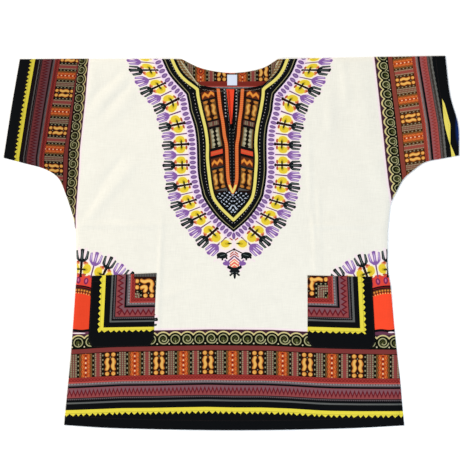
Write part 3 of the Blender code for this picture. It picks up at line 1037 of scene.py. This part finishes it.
def paint_yoke(layers, out, along, yellow, orange, side, y):
    """Inside the black edge: its lines, the ladders of blocks and the orange point."""
    add = layers.add
    tree = layers.tree
    a = abs(side)
    # The dark edge lies a little outside the line that the fringe is measured from
    from_point = (y - 68.0) / 42.0
    margin = (1.0 - from_point * from_point).high_of(0.0) * 3.4 + 2.3
    edge_out = out - margin
    inside = edge_out < 0.0
    add(INK, inside)
    add(OLIVE_LINE, edge_out.near(-5.6, 0.65))
    add(ASH, edge_out.near(-14.6, 0.7) & along.wrap(6.9).near(0.0, 0.95))
    add(FRAME_BROWN, (yellow < -4.6) & (y < 324.0))
    strip = (yellow < -8.5) & (y > 330.0) & inside
    add(ORANGE_EDGE, strip)
    add(SAGE, ellipse(yellow.wrap(5.2), y.wrap(5.6), 1.7, 1.9) & strip)
    # Painted highlight: a thin pale line along the front's curled neck edge, where it would catch the light
    add(BEAD_AND_EDGE_HIGHLIGHT, line_mask(a, y, 102.0, 381.0, 67.5, 331.8, 0.9))
    # The ladder's own coordinates: x across it from -1 to 1 and rung heights that slope outwards
    rung_y = y + (a - LADDER_MIDDLE) * LADDER_SLOPE
    inner, outer = orange - 8.0, yellow * -1.0 - 6.6
    width = inner + outer
    x = (inner - outer) / width
    column = (inner > 0.0) & (outer > 0.0) & (yellow < 0.0) & (y > 110.0)
    rungs = Layers(tree, FRAME_BROWN)
    edge = abs(x)
    # Waved orange blocks
    for low, high in ((306.0, 322.0), (159.0, 178.0)):
        middle = (low + high) / 2
        zone = rung_y.between(low, high)
        rungs.add(RUST_INK, zone & (edge < 0.95))
        wave = (rung_y - middle - (x.swing(0.9) - 0.5) * 6.5)
        rungs.add(RUST_INK, abs(rung_y - middle).near((high - low) / 2 - 1.0, 1.0) & (edge < 0.95))
        rungs.add(ORANGE, wave.near(0.0, 4.4) & zone & (edge < 0.92))
        rungs.add(AMBER, wave.near(0.0, 2.8) & zone & (edge < 0.86))
        rungs.add(MAUVE, rung_y.between(low - 3.6, low - 1.2) & (edge < 0.95))
    # Bones
    for low, high in ((259.5, 302.0), (112.0, 153.5)):
        half = (high - low) / 2
        middle = rung_y - (low + half)
        zone = middle.near(0.0, half)
        rungs.add(ORANGE_EDGE, zone & (edge < 0.95))
        rungs.add(RED_INK, (edge < 0.16) & zone)
        rungs.add(RED_INK, ellipse(edge, abs(middle) - half * 0.66, 0.42, 3.6) & zone)
        bone = (edge - 0.52 - middle.wave(15.0) * 0.08) * 11.0
        bar = bone.to((abs(middle) - half * 0.42).high_of(0.0))
        knob = ellipse(edge - 0.55, abs(middle) - half * 0.86, 0.32, 2.8)
        rungs.add(BONE, (bar < 3.2) & zone)
        rungs.add(BONE_CORE, (bar < 1.5) & zone)
        rungs.add(BONE, knob & zone)
    # A plain grey-brown block and a red one
    rungs.add(BROWN, rung_y.between(246.0, 256.0) & (edge < 0.95))
    rungs.add(SAGE, rung_y.near(251.0, 4.0) & edge.near(0.5, 0.32) & a.wrap(3.4).near(0.0, 0.9))
    rungs.add(BRIGHT_RED, rung_y.between(184.0, 193.5) & (edge < 0.95))
    rungs.add(APRICOT, rung_y.near(189.5, 1.0) & (edge < 0.8) & a.wrap(3.2).near(0.0, 0.9))
    # The beaded block with a dark zigzag down its middle
    beaded = rung_y.between(200.0, 240.5)
    rungs.add(ORANGE_EDGE, beaded & (edge < 0.95))
    rungs.add(SAGE, beaded & (edge < 0.78))
    spine = edge - rung_y.swing(9.0) * 0.22
    rungs.add(BEAD_AND_EDGE_HIGHLIGHT, ellipse(edge - 0.42, rung_y.wrap(9.0), 0.22, 3.0) & beaded)
    rungs.add(GREEN_INK, (spine < 0.14) & beaded)
    rungs.add(SLATE, rung_y.between(104.0, 110.0) | rung_y.between(154.0, 158.0))
    rungs.add(FRAME_BROWN, (edge < 2.0) * 0.26)
    add(rungs, column & rung_y.between(103.0, 325.0))
    # Lines across between the blocks
    for place in (304.0, 257.7, 243.3, 197.0, 182.0, 156.0):
        add(INK, rung_y.near(place, 1.5) & column)
    # The orange point, black with dotted lines inside it
    within = (orange < 0.0) & (y > 100.0)
    add(INK, within)
    add(RED_INK, orange.between(3.5, 7.0) & (y > 104.0))
    dots = ellipse(a - 12.5 + (y - 321.0) * -0.03, y.wrap(7.0), 1.5, 1.5)
    add(ASH, dots & within & (y > 262.0))
    add(SCARLET, (a < (y - 236.0) * 0.095) & within & (y > 250.0))
    add(RED_INK, orange.between(-6.4, -3.4) & (y > 112.0))
    add(SLATE, ellipse(a - 3.6, y.wrap(6.6), 0.9, 1.2) & within & (y < 240.0))
    orange_line = orange.near(0.0, 3.3) & (y > 100.0)
    add(TANGERINE, orange_line)
    add(APRICOT, orange_line & y.wrap(4.4).near(0.0, 0.9))
    add(PALE_YELLOW, orange.near(0.0, 2.0) & y.between(100.0, 122.0))
    # The pointed dark field below with its pale lattice
    field = (yellow < -5.0) & (rung_y < 103.0) & (orange > 4.0)
    add(INK, field)
    middle = field & (yellow < -8.5)
    leaf_x, leaf_y = (a + y * 0.8).wrap(9.2), (y - a * 0.62).wrap(7.8)
    add(ICE, ellipse(leaf_x, leaf_y, 2.5, 1.2) & middle)
    leaf_x, leaf_y = (a - y * 0.9).wrap(11.0), (y + a * 0.9).wrap(10.0)
    add(ICE, ellipse(leaf_x, leaf_y, 1.7, 0.9) & middle)
    add(ICE, ellipse(a, y - 69.0, 2.0, 2.4) & field)
    add(ICE, line_mask(a, y, 3.0, 78.0, 7.5, 70.0, 1.2))
    add(PALE_YELLOW, yellow.near(0.0, 3.1) & inside)


def paint_arch(layers, radius, angle):
    """Inside the side arch's fringe: dark lines, a row of small beads and solid scarlet."""
    add = layers.add
    add(INK, radius < 97.0)
    add(DEEP_RED, radius.near(93.2, 0.8))
    add(RUST_INK, radius < 90.5)
    add(BONE, ellipse(angle.wrap(3.9) * 1.45, radius - 86.5, 1.9, 2.0))
    add(ARCH_RED, radius < 83.0)
    add(RUST_INK, ellipse((angle + 1.9).wrap(3.9) * 1.4, radius - 82.0, 1.4, 2.2))
    add(BONE_CORE, ellipse(angle.wrap(3.9) * 1.4, radius - 80.5, 1.2, 1.2))


# Cloth materials

THREAD = 0.62
Finish = namedtuple("Finish", "roughness specular sheen bump")
MATT_COTTON = Finish(0.9, 0.06, 0.02, 0.22)
SATIN = Finish(0.45, 0.35, 0.0, 0.12)


def new_material(name):
    material = bpy.data.materials.new(name)
    material.use_nodes = True
    tree = material.node_tree
    tree.nodes.clear()
    return material, tree


def read_places(tree, name):
    """The three numbers of a print coordinate that the mesh carries."""
    attribute = tree.nodes.new("ShaderNodeAttribute")
    attribute.attribute_type = "GEOMETRY"
    attribute.attribute_name = name
    split = tree.nodes.new("ShaderNodeSeparateXYZ")
    tree.links.new(attribute.outputs["Vector"], split.inputs[0])
    return [Field(tree, socket) for socket in split.outputs]


def object_place(tree):
    """The place on the object in millimetres, as three numbers and as one vector."""
    coordinates = tree.nodes.new("ShaderNodeTexCoord")
    scaled = tree.nodes.new("ShaderNodeVectorMath")
    scaled.operation = "SCALE"
    scaled.inputs["Scale"].default_value = 1000.0
    tree.links.new(coordinates.outputs["Object"], scaled.inputs[0])
    split = tree.nodes.new("ShaderNodeSeparateXYZ")
    tree.links.new(scaled.outputs[0], split.inputs[0])
    fields = [Field(tree, socket) for socket in split.outputs]
    return fields, scaled.outputs[0]


def stretched(tree, vector, x, y):
    node = tree.nodes.new("ShaderNodeVectorMath")
    node.operation = "MULTIPLY"
    node.inputs[1].default_value = (x, y, 1.0)
    tree.links.new(vector, node.inputs[0])
    return node.outputs[0]


def finish_cloth(tree, layers, finish, slub=0.08):
    """Weave, slubs and light unevenness over the printed colour, and the shader itself."""
    (x, y, _), vector = object_place(tree)
    threads_up = uneven(tree, stretched(tree, vector, 1.6, 0.05), 1.0, 1.0)
    threads_across = uneven(tree, stretched(tree, vector, 0.05, 1.6), 1.0, 1.0)
    mottle = uneven(tree, vector, 0.028, 1.0)
    weave = x.wave(THREAD * 2) * y.wave(THREAD * 2)
    shade = (threads_up + threads_across) * (slub * 2) + mottle * (slub * 0.8) + weave * 0.015 + 1.0
    tinted = tree.nodes.new("ShaderNodeVectorMath")
    tinted.operation = "SCALE"
    tree.links.new(shade.socket, tinted.inputs["Scale"])
    if layers.socket is None:
        tinted.inputs[0].default_value = layers.ground[:3]
    else:
        tree.links.new(layers.socket, tinted.inputs[0])
    rumple = uneven(tree, vector, 0.06, 1.0)
    height = weave * 0.09 + (threads_up + threads_across) * 0.22 + rumple * 0.5
    bump = tree.nodes.new("ShaderNodeBump")
    bump.inputs["Strength"].default_value = finish.bump
    bump.inputs["Distance"].default_value = 0.001
    tree.links.new(height.socket, bump.inputs["Height"])
    shader = tree.nodes.new("ShaderNodeBsdfPrincipled")
    shader.inputs["Roughness"].default_value = finish.roughness
    shader.inputs["Specular IOR Level"].default_value = finish.specular
    shader.inputs["Sheen Weight"].default_value = finish.sheen
    tree.links.new(tinted.outputs[0], shader.inputs["Base Color"])
    tree.links.new(bump.outputs[0], shader.inputs["Normal"])
    output = tree.nodes.new("ShaderNodeOutputMaterial")
    tree.links.new(shader.outputs[0], output.inputs[0])


def plain_cloth(name, colour, finish=MATT_COTTON, slub=0.08):
    material, tree = new_material(name)
    finish_cloth(tree, Layers(tree, colour), finish, slub)
    return material


def border_cotton():
    material, tree = new_material("border_cotton")
    across, up, spirals = read_places(tree, "border")
    (x, y, _), vector = object_place(tree)
    wobble = uneven(tree, vector, 0.05, 9.0)
    layers = paint_border(tree, across, up, spirals, wobble=wobble)
    # Under the side arches a dark line and a pale curve lie over the border's top
    foot = (up > 206.6) & (abs(x) > 270.0) & (y < -150.0)
    layers.add(BORDER_EDGE, foot)
    layers.add(INK, (y - x.wave(34.0) * 0.8).near(-184.0, 2.6) & foot)
    layers.add(HALO, ellipse(x + 321.0, y + 189.4, 15.0, 1.3) & foot)
    layers.add(HALO, ellipse(x - 336.0, y + 187.6, 7.0, 1.5) & foot)
    layers.add(RED_INK, (y < 0.0) & up.between(116.0, 165.2) * 0.12)
    # The ink is denser on the left sleeve and warmer on the right one
    left = (x < -290.0) & (y > 60.0)
    layers.add(DENSE_INK, left & up.between(50.0, 207.0) * 0.32)
    layers.add(DENSE_INK, left & up.between(62.9, 112.0) * 0.36)
    layers.add(DENSE_INK, left & up.between(33.0, 47.3) * 0.26)
    right = (x > 290.0) & (y > 20.0)
    layers.add(RED_WASH, right & up.between(72.8, 93.2) * 0.28)
    layers.add(GREY_WASH, right & up.between(60.3, 72.8) * 0.2)
    layers.add(WARM_WASH, right & up.between(98.0, 176.0) * 0.1)
    # Painted sheen: a navy glint on the black along the right cuff's fold
    layers.add(NAVY_SHEEN, ~((x - 477.0) / 9.0).to((y - 243.0) / 46.0).rise(0.3, 1.0) * 0.7 & right)
    for corners in RIGHT_YELLOW:
        layers.add(STRIP_YELLOW, shape_mask(x, y, corners))
    finish_cloth(tree, layers, MATT_COTTON)
    return material


def neck_cotton():
    material, tree = new_material("neck_cotton")
    out, along, count = read_places(tree, "neck_out")
    yellow, orange, side = read_places(tree, "neck_in")
    (_, y, _), _ = object_place(tree)
    layers = Layers(tree, COTTON)
    paint_fringe(layers, out, along, count)
    paint_finial(layers, side, y)
    paint_yoke(layers, out, along, yellow, orange, side, y)
    finish_cloth(tree, layers, MATT_COTTON)
    return material


def arch_cotton():
    material, tree = new_material("arch_cotton")
    out, along, count = read_places(tree, "neck_out")
    radius, angle, _ = read_places(tree, "neck_in")
    (x, y, _), _ = object_place(tree)
    layers = Layers(tree, COTTON)
    paint_fringe(layers, out, along, count, ground=SCARLET_PINK)
    paint_arch(layers, radius, angle)
    layers.add(RED_INK, (x < 0.0) & (radius < 83.0) * 0.2)
    # The dark line along its foot
    layers.add(INK, ((y - x.wave(34.0) * 0.8) < -181.4) & (radius < 118.0))
    finish_cloth(tree, layers, MATT_COTTON)
    return material


# Places on the pockets, whose bands run up the outer side and along the bottom

# A row for each place in the border print: its height there, and how far in it lies on each pocket
Bands = namedtuple("Bands", "up left_side left_bottom right_side right_bottom")
BANDS = Bands(*np.array((
    (0, 0, 0, 0, 0),
    (31.5, 15.3, 28.9, 15, 33),
    (37.5, 20, 33.7, 18.9, 37),
    (47.2, 29.2, 40.6, 29.2, 46.4),
    (60.3, 41.8, 51.6, 39.5, 59),
    (62.9, 45.8, 54.8, 44.7, 62.9),
    (68, 47.5, 58, 46.3, 64.5),
    (70.4, 50, 60.6, 49.2, 66.5),
    (72.8, 53.4, 63.6, 52.6, 68.5),
    (93.2, 70.8, 81.4, 69.6, 87.6),
    (96.8, 74, 85.4, 73.6, 91),
    (103.8, 82.4, 92, 82.2, 96.4),
    (115, 91.6, 101.6, 92.9, 107.4),
    (116, 93.2, 102.4, 93.8, 108),
    (166, 133, 143, 135, 149),
), float).T)
PocketPlan = namedtuple(
    "PocketPlan", "sides bottoms side_line bottom_line corner_x corner_y turn block_shift",
)
POCKET_PLANS = {
    "pocket_left": PocketPlan(
        BANDS.left_side, BANDS.left_bottom, side_line=((-293, -69), (-300, -219)),
        bottom_line=((-300, -219), (-171, -217)),
        corner_x=-162.5, corner_y=-75.0, turn=-1, block_shift=-11.3,
    ),
    "pocket_right": PocketPlan(
        BANDS.right_side, BANDS.right_bottom, side_line=((295, -71), (302, -221)),
        bottom_line=((166, -222.8), (302, -226.8)),
        corner_x=163.0, corner_y=-70.5, turn=1, block_shift=0.6,
    ),
}


def pocket_places(points, plan):
    """Border heights from the outer side and from the bottom edge of the pocket."""
    (top_x, top_y), (low_x, low_y) = plan.side_line
    x, y = points.T
    side_x = np.interp(y, (low_y, top_y), (low_x, top_x))
    from_side = (x - side_x) * -plan.turn
    from_low = y - np.interp(x, *table(plan.bottom_line))
    up_side = np.interp(from_side, plan.sides, BANDS.up)
    up_low = np.interp(from_low, plan.bottoms, BANDS.up)
    return np.column_stack([up_side, up_low, np.zeros(len(points))])


def pocket_cotton(name, plan):
    material, tree = new_material(name + "_cotton")
    up_side, up_low, _ = read_places(tree, "border")
    (x, y, _), vector = object_place(tree)
    up = up_side.low_of(up_low)
    upright = up_side < up_low
    across = y * upright + x * ~upright
    from_corner_x = (x - plan.corner_x) * plan.turn
    from_corner_y = plan.corner_y - y
    level = from_corner_x.low_of(from_corner_y)
    run = from_corner_x.high_of(from_corner_y)
    block_place = (level + plan.block_shift, 156.5 - run)
    wobble = uneven(tree, vector, 0.05, 9.0)
    layers = paint_border(tree, across, up, None, block_place, wobble, zigzag_step=11.2)
    # The turned mouth over the blocks
    mouth = (from_corner_y < 0.0) & (up > 112.0)
    layers.add(RED_INK, mouth)
    layers.add(SLATE, mouth & (from_corner_y < -4.5) & x.wrap(3.4).near(0.0, 1.1))
    finish_cloth(tree, layers, MATT_COTTON)
    return material


# The facing's print runs with the back's neck

FACING_BONES_AT = -20.5
FACING_SCALE = 0.85
FACING_ROWS = (
    (320, 90), (323, 97.2), (327.5, 103.4), (329.5, 105.8), (338, 113.8), (339.2, 116), (384, 166),
)


def facing_cotton():
    material, tree = new_material("facing_cotton")
    across, up, _ = read_places(tree, "border")
    layers = paint_border(tree, across, up)
    layers.add(FACING_RED, up.between(105.6, 114.8))
    ring = (BLOCK_PERIOD / 2 - abs(across.wrap(BLOCK_PERIOD))).to((up - 140.0) * 0.9)
    layers.add(DEEP_RED, ring < 9.6)
    layers.add(ORANGE, ring.near(6.6, 1.7))
    layers.add(APRICOT, ring < 2.0)
    layers.add(RED_INK, (up > 116.0) * 0.22)
    finish_cloth(tree, layers, MATT_COTTON)
    return material


# Regions of the front and back, each with its own material

PLAIN, BORDER, NECK, ARCH = range(4)
SLEEVE_LOW = 30
ARCH_HIGH = 40
RIGHT_ARCH_FROM = 164
ARCH_PLACES_FROM = 118


def region_lines():
    """Lines just above the borders, kept as edges so that no face crosses them."""
    hem = [(x, y + REGION_MARGIN) for x, y in HEM_TOP]
    left = [(x + REGION_MARGIN, y) for y, x in LEFT_TOP_LINE if SLEEVE_LOW < y < 387]
    right = [(x - REGION_MARGIN, y) for y, x in RIGHT_TOP_LINE if SLEEVE_LOW < y < 391]
    middle = [(AXIS_X + AXIS_LEAN * (AXIS_Y - y), y) for y in (222, -76)]
    return hem, left, right, middle


def lines_within(ring, lines):
    """The lines as close-set points, cut where they leave the ring."""
    kept = []
    for line in lines:
        points = smooth_run(line, EDGE_STEP)
        clear, _ = nearest_on(points, ring, closed=True)
        crossing = inside(points, ring) & (clear > EDGE_STEP * 0.6)
        runs = np.split(points, np.flatnonzero(np.diff(crossing.astype(int))) + 1)
        marks = np.split(crossing, np.flatnonzero(np.diff(crossing.astype(int))) + 1)
        kept += [run for run, mark in zip(runs, marks) if mark[0] and len(run) > 1]
    return kept


def inside(points, ring):
    """True for each point that the ring encloses, by the even-odd rule."""
    x0, y0 = ring.T
    x1, y1 = np.roll(ring, -1, axis=0).T
    answers = []
    for chunk in np.array_split(points, max(1, len(points) // 4000)):
        x, y = chunk[:, :1], chunk[:, 1:2]
        rising = (y0 <= y) != (y1 <= y)
        run = np.where(y1 == y0, 1, y1 - y0)
        crossing = x0 + (y - y0) * (x1 - x0) / run
        answers.append((rising & (x < crossing)).sum(axis=1) % 2 == 1)
    return np.concatenate(answers)


def region_of(points):
    x, y = points.T
    hem_line = np.interp(x, *table(HEM_TOP)) + REGION_MARGIN
    left_line = np.interp(y, *table(LEFT_TOP_LINE)) + REGION_MARGIN
    right_line = np.interp(y, *table(RIGHT_TOP_LINE)) - REGION_MARGIN
    region = np.full(len(points), PLAIN)
    out = neck_places(points)[0][:, 0]
    side, _ = from_axis(points)
    low = np.abs(side) < FINIAL_HALF
    neck = ((out < NECK_REACH) | (np.abs(side) < 30) & (y < 0)) & (y > FINIAL_LOW) & ((y > 10) | low)
    region[neck] = NECK
    for arch in ARCHES:
        near = np.hypot(x - arch.x, y - arch.y) < ARCH_REACH
        region[near & (y < ARCH_HIGH) & ((x < 0) | (x > RIGHT_ARCH_FROM))] = ARCH
    region[y < hem_line] = BORDER
    region[((x < left_line) | (x > right_line)) & (y > SLEEVE_LOW)] = BORDER
    return region


def panel_places(points):
    """The print coordinates of every point of the front or the back."""
    x, y = points.T
    border = hem_places(points)
    sleeve = y > 0
    left, right = sleeve & (x < 0), sleeve & (x > 0)
    border[left] = left_sleeve_places(points[left])
    border[right] = right_sleeve_places(points[right])
    out, inner = neck_places(points)
    arch_out, arch_in = arch_places(points)
    low = (y < 0) & (np.abs(x) > ARCH_PLACES_FROM)
    out[low], inner[low] = arch_out[low], arch_in[low]
    return {"border": border, "neck_out": out, "neck_in": inner}


def make_panel(name, runs, step, top_of, materials):
    ring = closed_loop(*runs)
    points, faces = plan_of(ring, lines_within(ring, region_lines()), step)
    regions = region_of(points[faces].mean(axis=1))
    return shell(name, points, faces, top_of(points), SHELL, regions, materials, panel_places(points))


def back_top(points):
    return np.full(len(points), BACK_TOP)


def pocket_top(points, corners, ring):
    """The height of a pocket's upper side, curled down at its edge and a little open at its mouth."""
    edge, _ = nearest_on(points, ring, closed=True)
    mouth = max(corner[1] for corner in corners)
    lift = MOUTH_RISE * smooth_step(1 - (mouth - points[:, 1]) / MOUTH_FADE)
    raised = POCKET_OVER * np.sqrt(smooth_step(edge / POCKET_CURL)) + lift + POCKET_EDGE
    return front_top(points) + raised + POCKET_SINK


def make_pocket(name, corners):
    plan = POCKET_PLANS[name]
    ring = straight_loop(corners, SMALL_STEP)
    points, faces = plan_of(ring, step=SMALL_STEP)
    return shell(
        name + "_cloth", points, faces, pocket_top(points, corners, ring), SHELL, np.zeros(len(faces), int),
        [pocket_cotton(name, plan)], {"border": pocket_places(points, plan)},
    )


def inset_line(line, by):
    """The line moved to its left-hand side."""
    ahead = np.gradient(line, axis=0)
    left = np.column_stack([-ahead[:, 1], ahead[:, 0]]) / np.linalg.norm(ahead, axis=1)[:, None]
    return line + left * by


def make_facing():
    upper = smooth_run(BACK_NECK, SMALL_STEP)
    lower = inset_line(upper, FACING_WIDTH)
    lower[:, 1] = np.minimum(lower[:, 1], upper[0, 1] - FACING_END)
    folded = inset_line(upper, FACING_INSET)
    folded[[0, -1], 1] -= 2 * FACING_INSET
    ring = np.vstack([folded, lower[::-1]])
    points, faces = plan_of(ring, step=SMALL_STEP)
    x, y = points.T
    up = np.interp(y, *table(FACING_ROWS))
    places = np.column_stack([(x - FACING_BONES_AT) / FACING_SCALE, up, 0 * x])
    top = np.full(len(points), FACING_TOP)
    return shell("facing_cloth", points, faces, top, FACING_SHELL, np.zeros(len(faces), int),
                 [facing_cotton()], {"border": places})


def make_label():
    ring = straight_loop(LABEL, 2.0)
    points, faces = plan_of(ring, step=2.0)
    (left, _), (right, _) = LABEL[:2]
    bend = LABEL_BEND * np.sin((points[:, 0] - left) * np.pi / (right - left))
    return shell("label_cloth", points, faces, LABEL_TOP + bend, LABEL_CLOTH, np.zeros(len(faces), int),
                 [plain_cloth("label_satin", LABEL_WHITE, SATIN, 0.02)])


# Sewing: short stitches that lie on the cloth

Stitch = namedtuple("Stitch", "length gap half_width half_height")
STITCH = Stitch(2.3, 0.9, 0.22, 0.16)
HEM_STITCHES_IN = 20.0
NECK_STITCHES_IN = 4.0
POCKET_STITCHES_IN = 0.965
MOUTH_TURN = 9.0


def stitch_row(name, lines, height_of, material):
    """Six-sided stitches, low in the cloth at both ends, one after another along the lines."""
    verts, polygons = [], []
    shares = np.array([0.0, 0.25, 0.5, 0.75, 1.0])
    arch = np.sin(np.pi * shares)
    for line in lines:
        steps = np.linalg.norm(np.diff(line, axis=0), axis=1)
        along = np.concatenate([[0], np.cumsum(steps)])
        starts = np.arange(0.5, along[-1] - STITCH.length, STITCH.length + STITCH.gap)
        if not len(starts):
            continue
        stops = (starts[:, None] + shares * STITCH.length).ravel()
        x, y = (np.interp(stops, along, line[:, axis]) for axis in (0, 1))
        z = height_of(np.column_stack([x, y]))
        for first in range(0, len(stops), len(shares)):
            part = slice(first, first + len(shares))
            px, py, pz = x[part], y[part], z[part]
            ux, uy = px[-1] - px[0], py[-1] - py[0]
            length = np.hypot(ux, uy)
            nx, ny = -uy / length, ux / length
            base = len(verts)
            for i, lift in enumerate(arch):
                wide = STITCH.half_width * (0.35 + 0.65 * lift)
                tall = STITCH.half_height * (0.3 + 0.9 * lift)
                for turn in np.arange(4) * np.pi / 2:
                    off = wide * np.cos(turn)
                    verts.append((px[i] + nx * off, py[i] + ny * off, pz[i] + 0.02 + tall * np.sin(turn)))
                if i:
                    for k in range(4):
                        a, b = base + (i - 1) * 4 + k, base + (i - 1) * 4 + (k + 1) % 4
                        polygons.append((a, b, b + 4, a + 4))
            polygons.append(tuple(base + k for k in (3, 2, 1, 0)))
            polygons.append(tuple(base + (len(arch) - 1) * 4 + k for k in range(4)))
    mesh = bpy.data.meshes.new(name)
    mesh.from_pydata((np.array(verts) * MM).tolist(), [], polygons)
    mesh.materials.append(material)
    mesh.shade_smooth()
    return placed(name, mesh)


def pocket_stitches(name, corners, material):
    corner = np.array(corners, float)
    middle = corner.mean(axis=0)
    inner = middle + (corner - middle) * POCKET_STITCHES_IN
    open_line = np.vstack([inner[1:], inner[:1]])
    lines = [smooth_run(pair, 3.0) for pair in zip(open_line, open_line[1:])]
    mouth = [smooth_run((inner[0] - (0, MOUTH_TURN), inner[1] - (0, MOUTH_TURN)), 3.0)]
    ring = straight_loop(corners, SMALL_STEP)
    return stitch_row(name, lines + mouth, lambda points: pocket_top(points, corners, ring), material)


# The shirt

cotton = [plain_cloth("plain_cotton", COTTON), border_cotton(), neck_cotton(), arch_cotton()]
front = make_panel("front_cloth", FRONT_RING, FRONT_STEP, front_top, cotton)
back = make_panel("back_cloth", BACK_RING, BACK_STEP, back_top, cotton)
pockets = {name: make_pocket(name, corners) for name, corners in
           (("pocket_left", POCKET_LEFT), ("pocket_right", POCKET_RIGHT))}
facing = make_facing()
label = make_label()

dark_thread = plain_cloth("sewing_thread", DARK_THREAD, slub=0.1)
pale_thread = plain_cloth("pale_thread", PALE_THREAD, slub=0.1)
hem_lines = [inset_line(smooth_run(run), HEM_STITCHES_IN) for run in (HEM, LEFT_CUFF, RIGHT_CUFF)]
neck_lines = [inset_line(smooth_run(run[::-1]), -NECK_STITCHES_IN) for run in FRONT_NECK]
hem_stitches = stitch_row("hem_stitches", hem_lines, front_top, dark_thread)
neck_stitches = stitch_row("neck_stitches", neck_lines, front_top, pale_thread)
pocket_rows = [
    pocket_stitches("pocket_left_stitches", POCKET_LEFT, dark_thread),
    pocket_stitches("pocket_right_stitches", POCKET_RIGHT, dark_thread),
]

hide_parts("front")
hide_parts("back")
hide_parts("neck_facing")
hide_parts("neck_label")
for name, pocket in pockets.items():
    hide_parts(name)

SLOTS = {
    front: "front_cotton", back: "back_cotton", facing: "facing_cotton", label: "label_satin",
    pockets["pocket_left"]: "pocket_cotton", pockets["pocket_right"]: "pocket_cotton",
    hem_stitches: "front_cotton", neck_stitches: "front_cotton",
    pocket_rows[0]: "pocket_cotton", pocket_rows[1]: "pocket_cotton",
}
for piece, slot_name in SLOTS.items():
    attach(piece, "root")


# Floor, light and camera

PHOTO_PIXELS = 460
PIXEL = 2.1 * MM
VIEW_X, VIEW_Y = -2.8 * MM, 27.3 * MM
CAMERA_HEIGHT = 6.0
SENSOR = 36.0
FLOOR_SIZE = 30
FLOOR_UNDER = 0.0003
WORLD_LIGHT = 0.36
Light = namedtuple("Light", "name place size power colour")
LIGHTS = (
    Light("key", (-4.4, 2.7, 2.9), 1.2, 342, (1.0, 0.955, 0.87)),
    Light("fill", (2.1, -2.2, 1.8), 1.4, 76, (0.74, 0.86, 1.0)),
)


def make_floor():
    bpy.ops.mesh.primitive_plane_add(size=FLOOR_SIZE, location=(0, 0, -FLOOR_UNDER))
    floor = bpy.context.object
    floor.name = "pale_floor"
    material, tree = new_material("pale_floor")
    shader = tree.nodes.new("ShaderNodeBsdfPrincipled")
    shader.inputs["Base Color"].default_value = (1, 1, 1, 1)
    shader.inputs["Roughness"].default_value = 0.9
    shader.inputs["Specular IOR Level"].default_value = 0.0
    shader.inputs["Emission Color"].default_value = (1, 1, 1, 1)
    shader.inputs["Emission Strength"].default_value = 0.07
    output = tree.nodes.new("ShaderNodeOutputMaterial")
    tree.links.new(shader.outputs[0], output.inputs[0])
    floor.data.materials.append(material)


def make_light(name, place, size, power, colour):
    data = bpy.data.lights.new(name, "AREA")
    data.shape = "SQUARE"
    data.size = size
    data.energy = power
    data.color = colour
    light = bpy.data.objects.new(name, data)
    light.location = place
    light.rotation_euler = (-Vector(place)).to_track_quat("-Z", "Y").to_euler()
    bpy.context.scene.collection.objects.link(light)


def make_world(strength):
    world = bpy.data.worlds.new("studio")
    world.use_nodes = True
    background = world.node_tree.nodes["Background"]
    background.inputs[0].default_value = (1, 1, 1, 1)
    background.inputs[1].default_value = strength
    bpy.context.scene.world = world


def make_camera():
    data = bpy.data.cameras.new("camera")
    data.sensor_width = SENSOR
    data.lens = SENSOR * CAMERA_HEIGHT / (PHOTO_PIXELS * PIXEL)
    camera = bpy.data.objects.new("camera", data)
    camera.location = (VIEW_X, VIEW_Y, CAMERA_HEIGHT)
    bpy.context.scene.collection.objects.link(camera)
    bpy.context.scene.camera = camera


make_floor()
make_world(WORLD_LIGHT)
for lamp in LIGHTS:
    make_light(*lamp)
make_camera()
bpy.context.scene.view_settings.view_transform = "Standard"
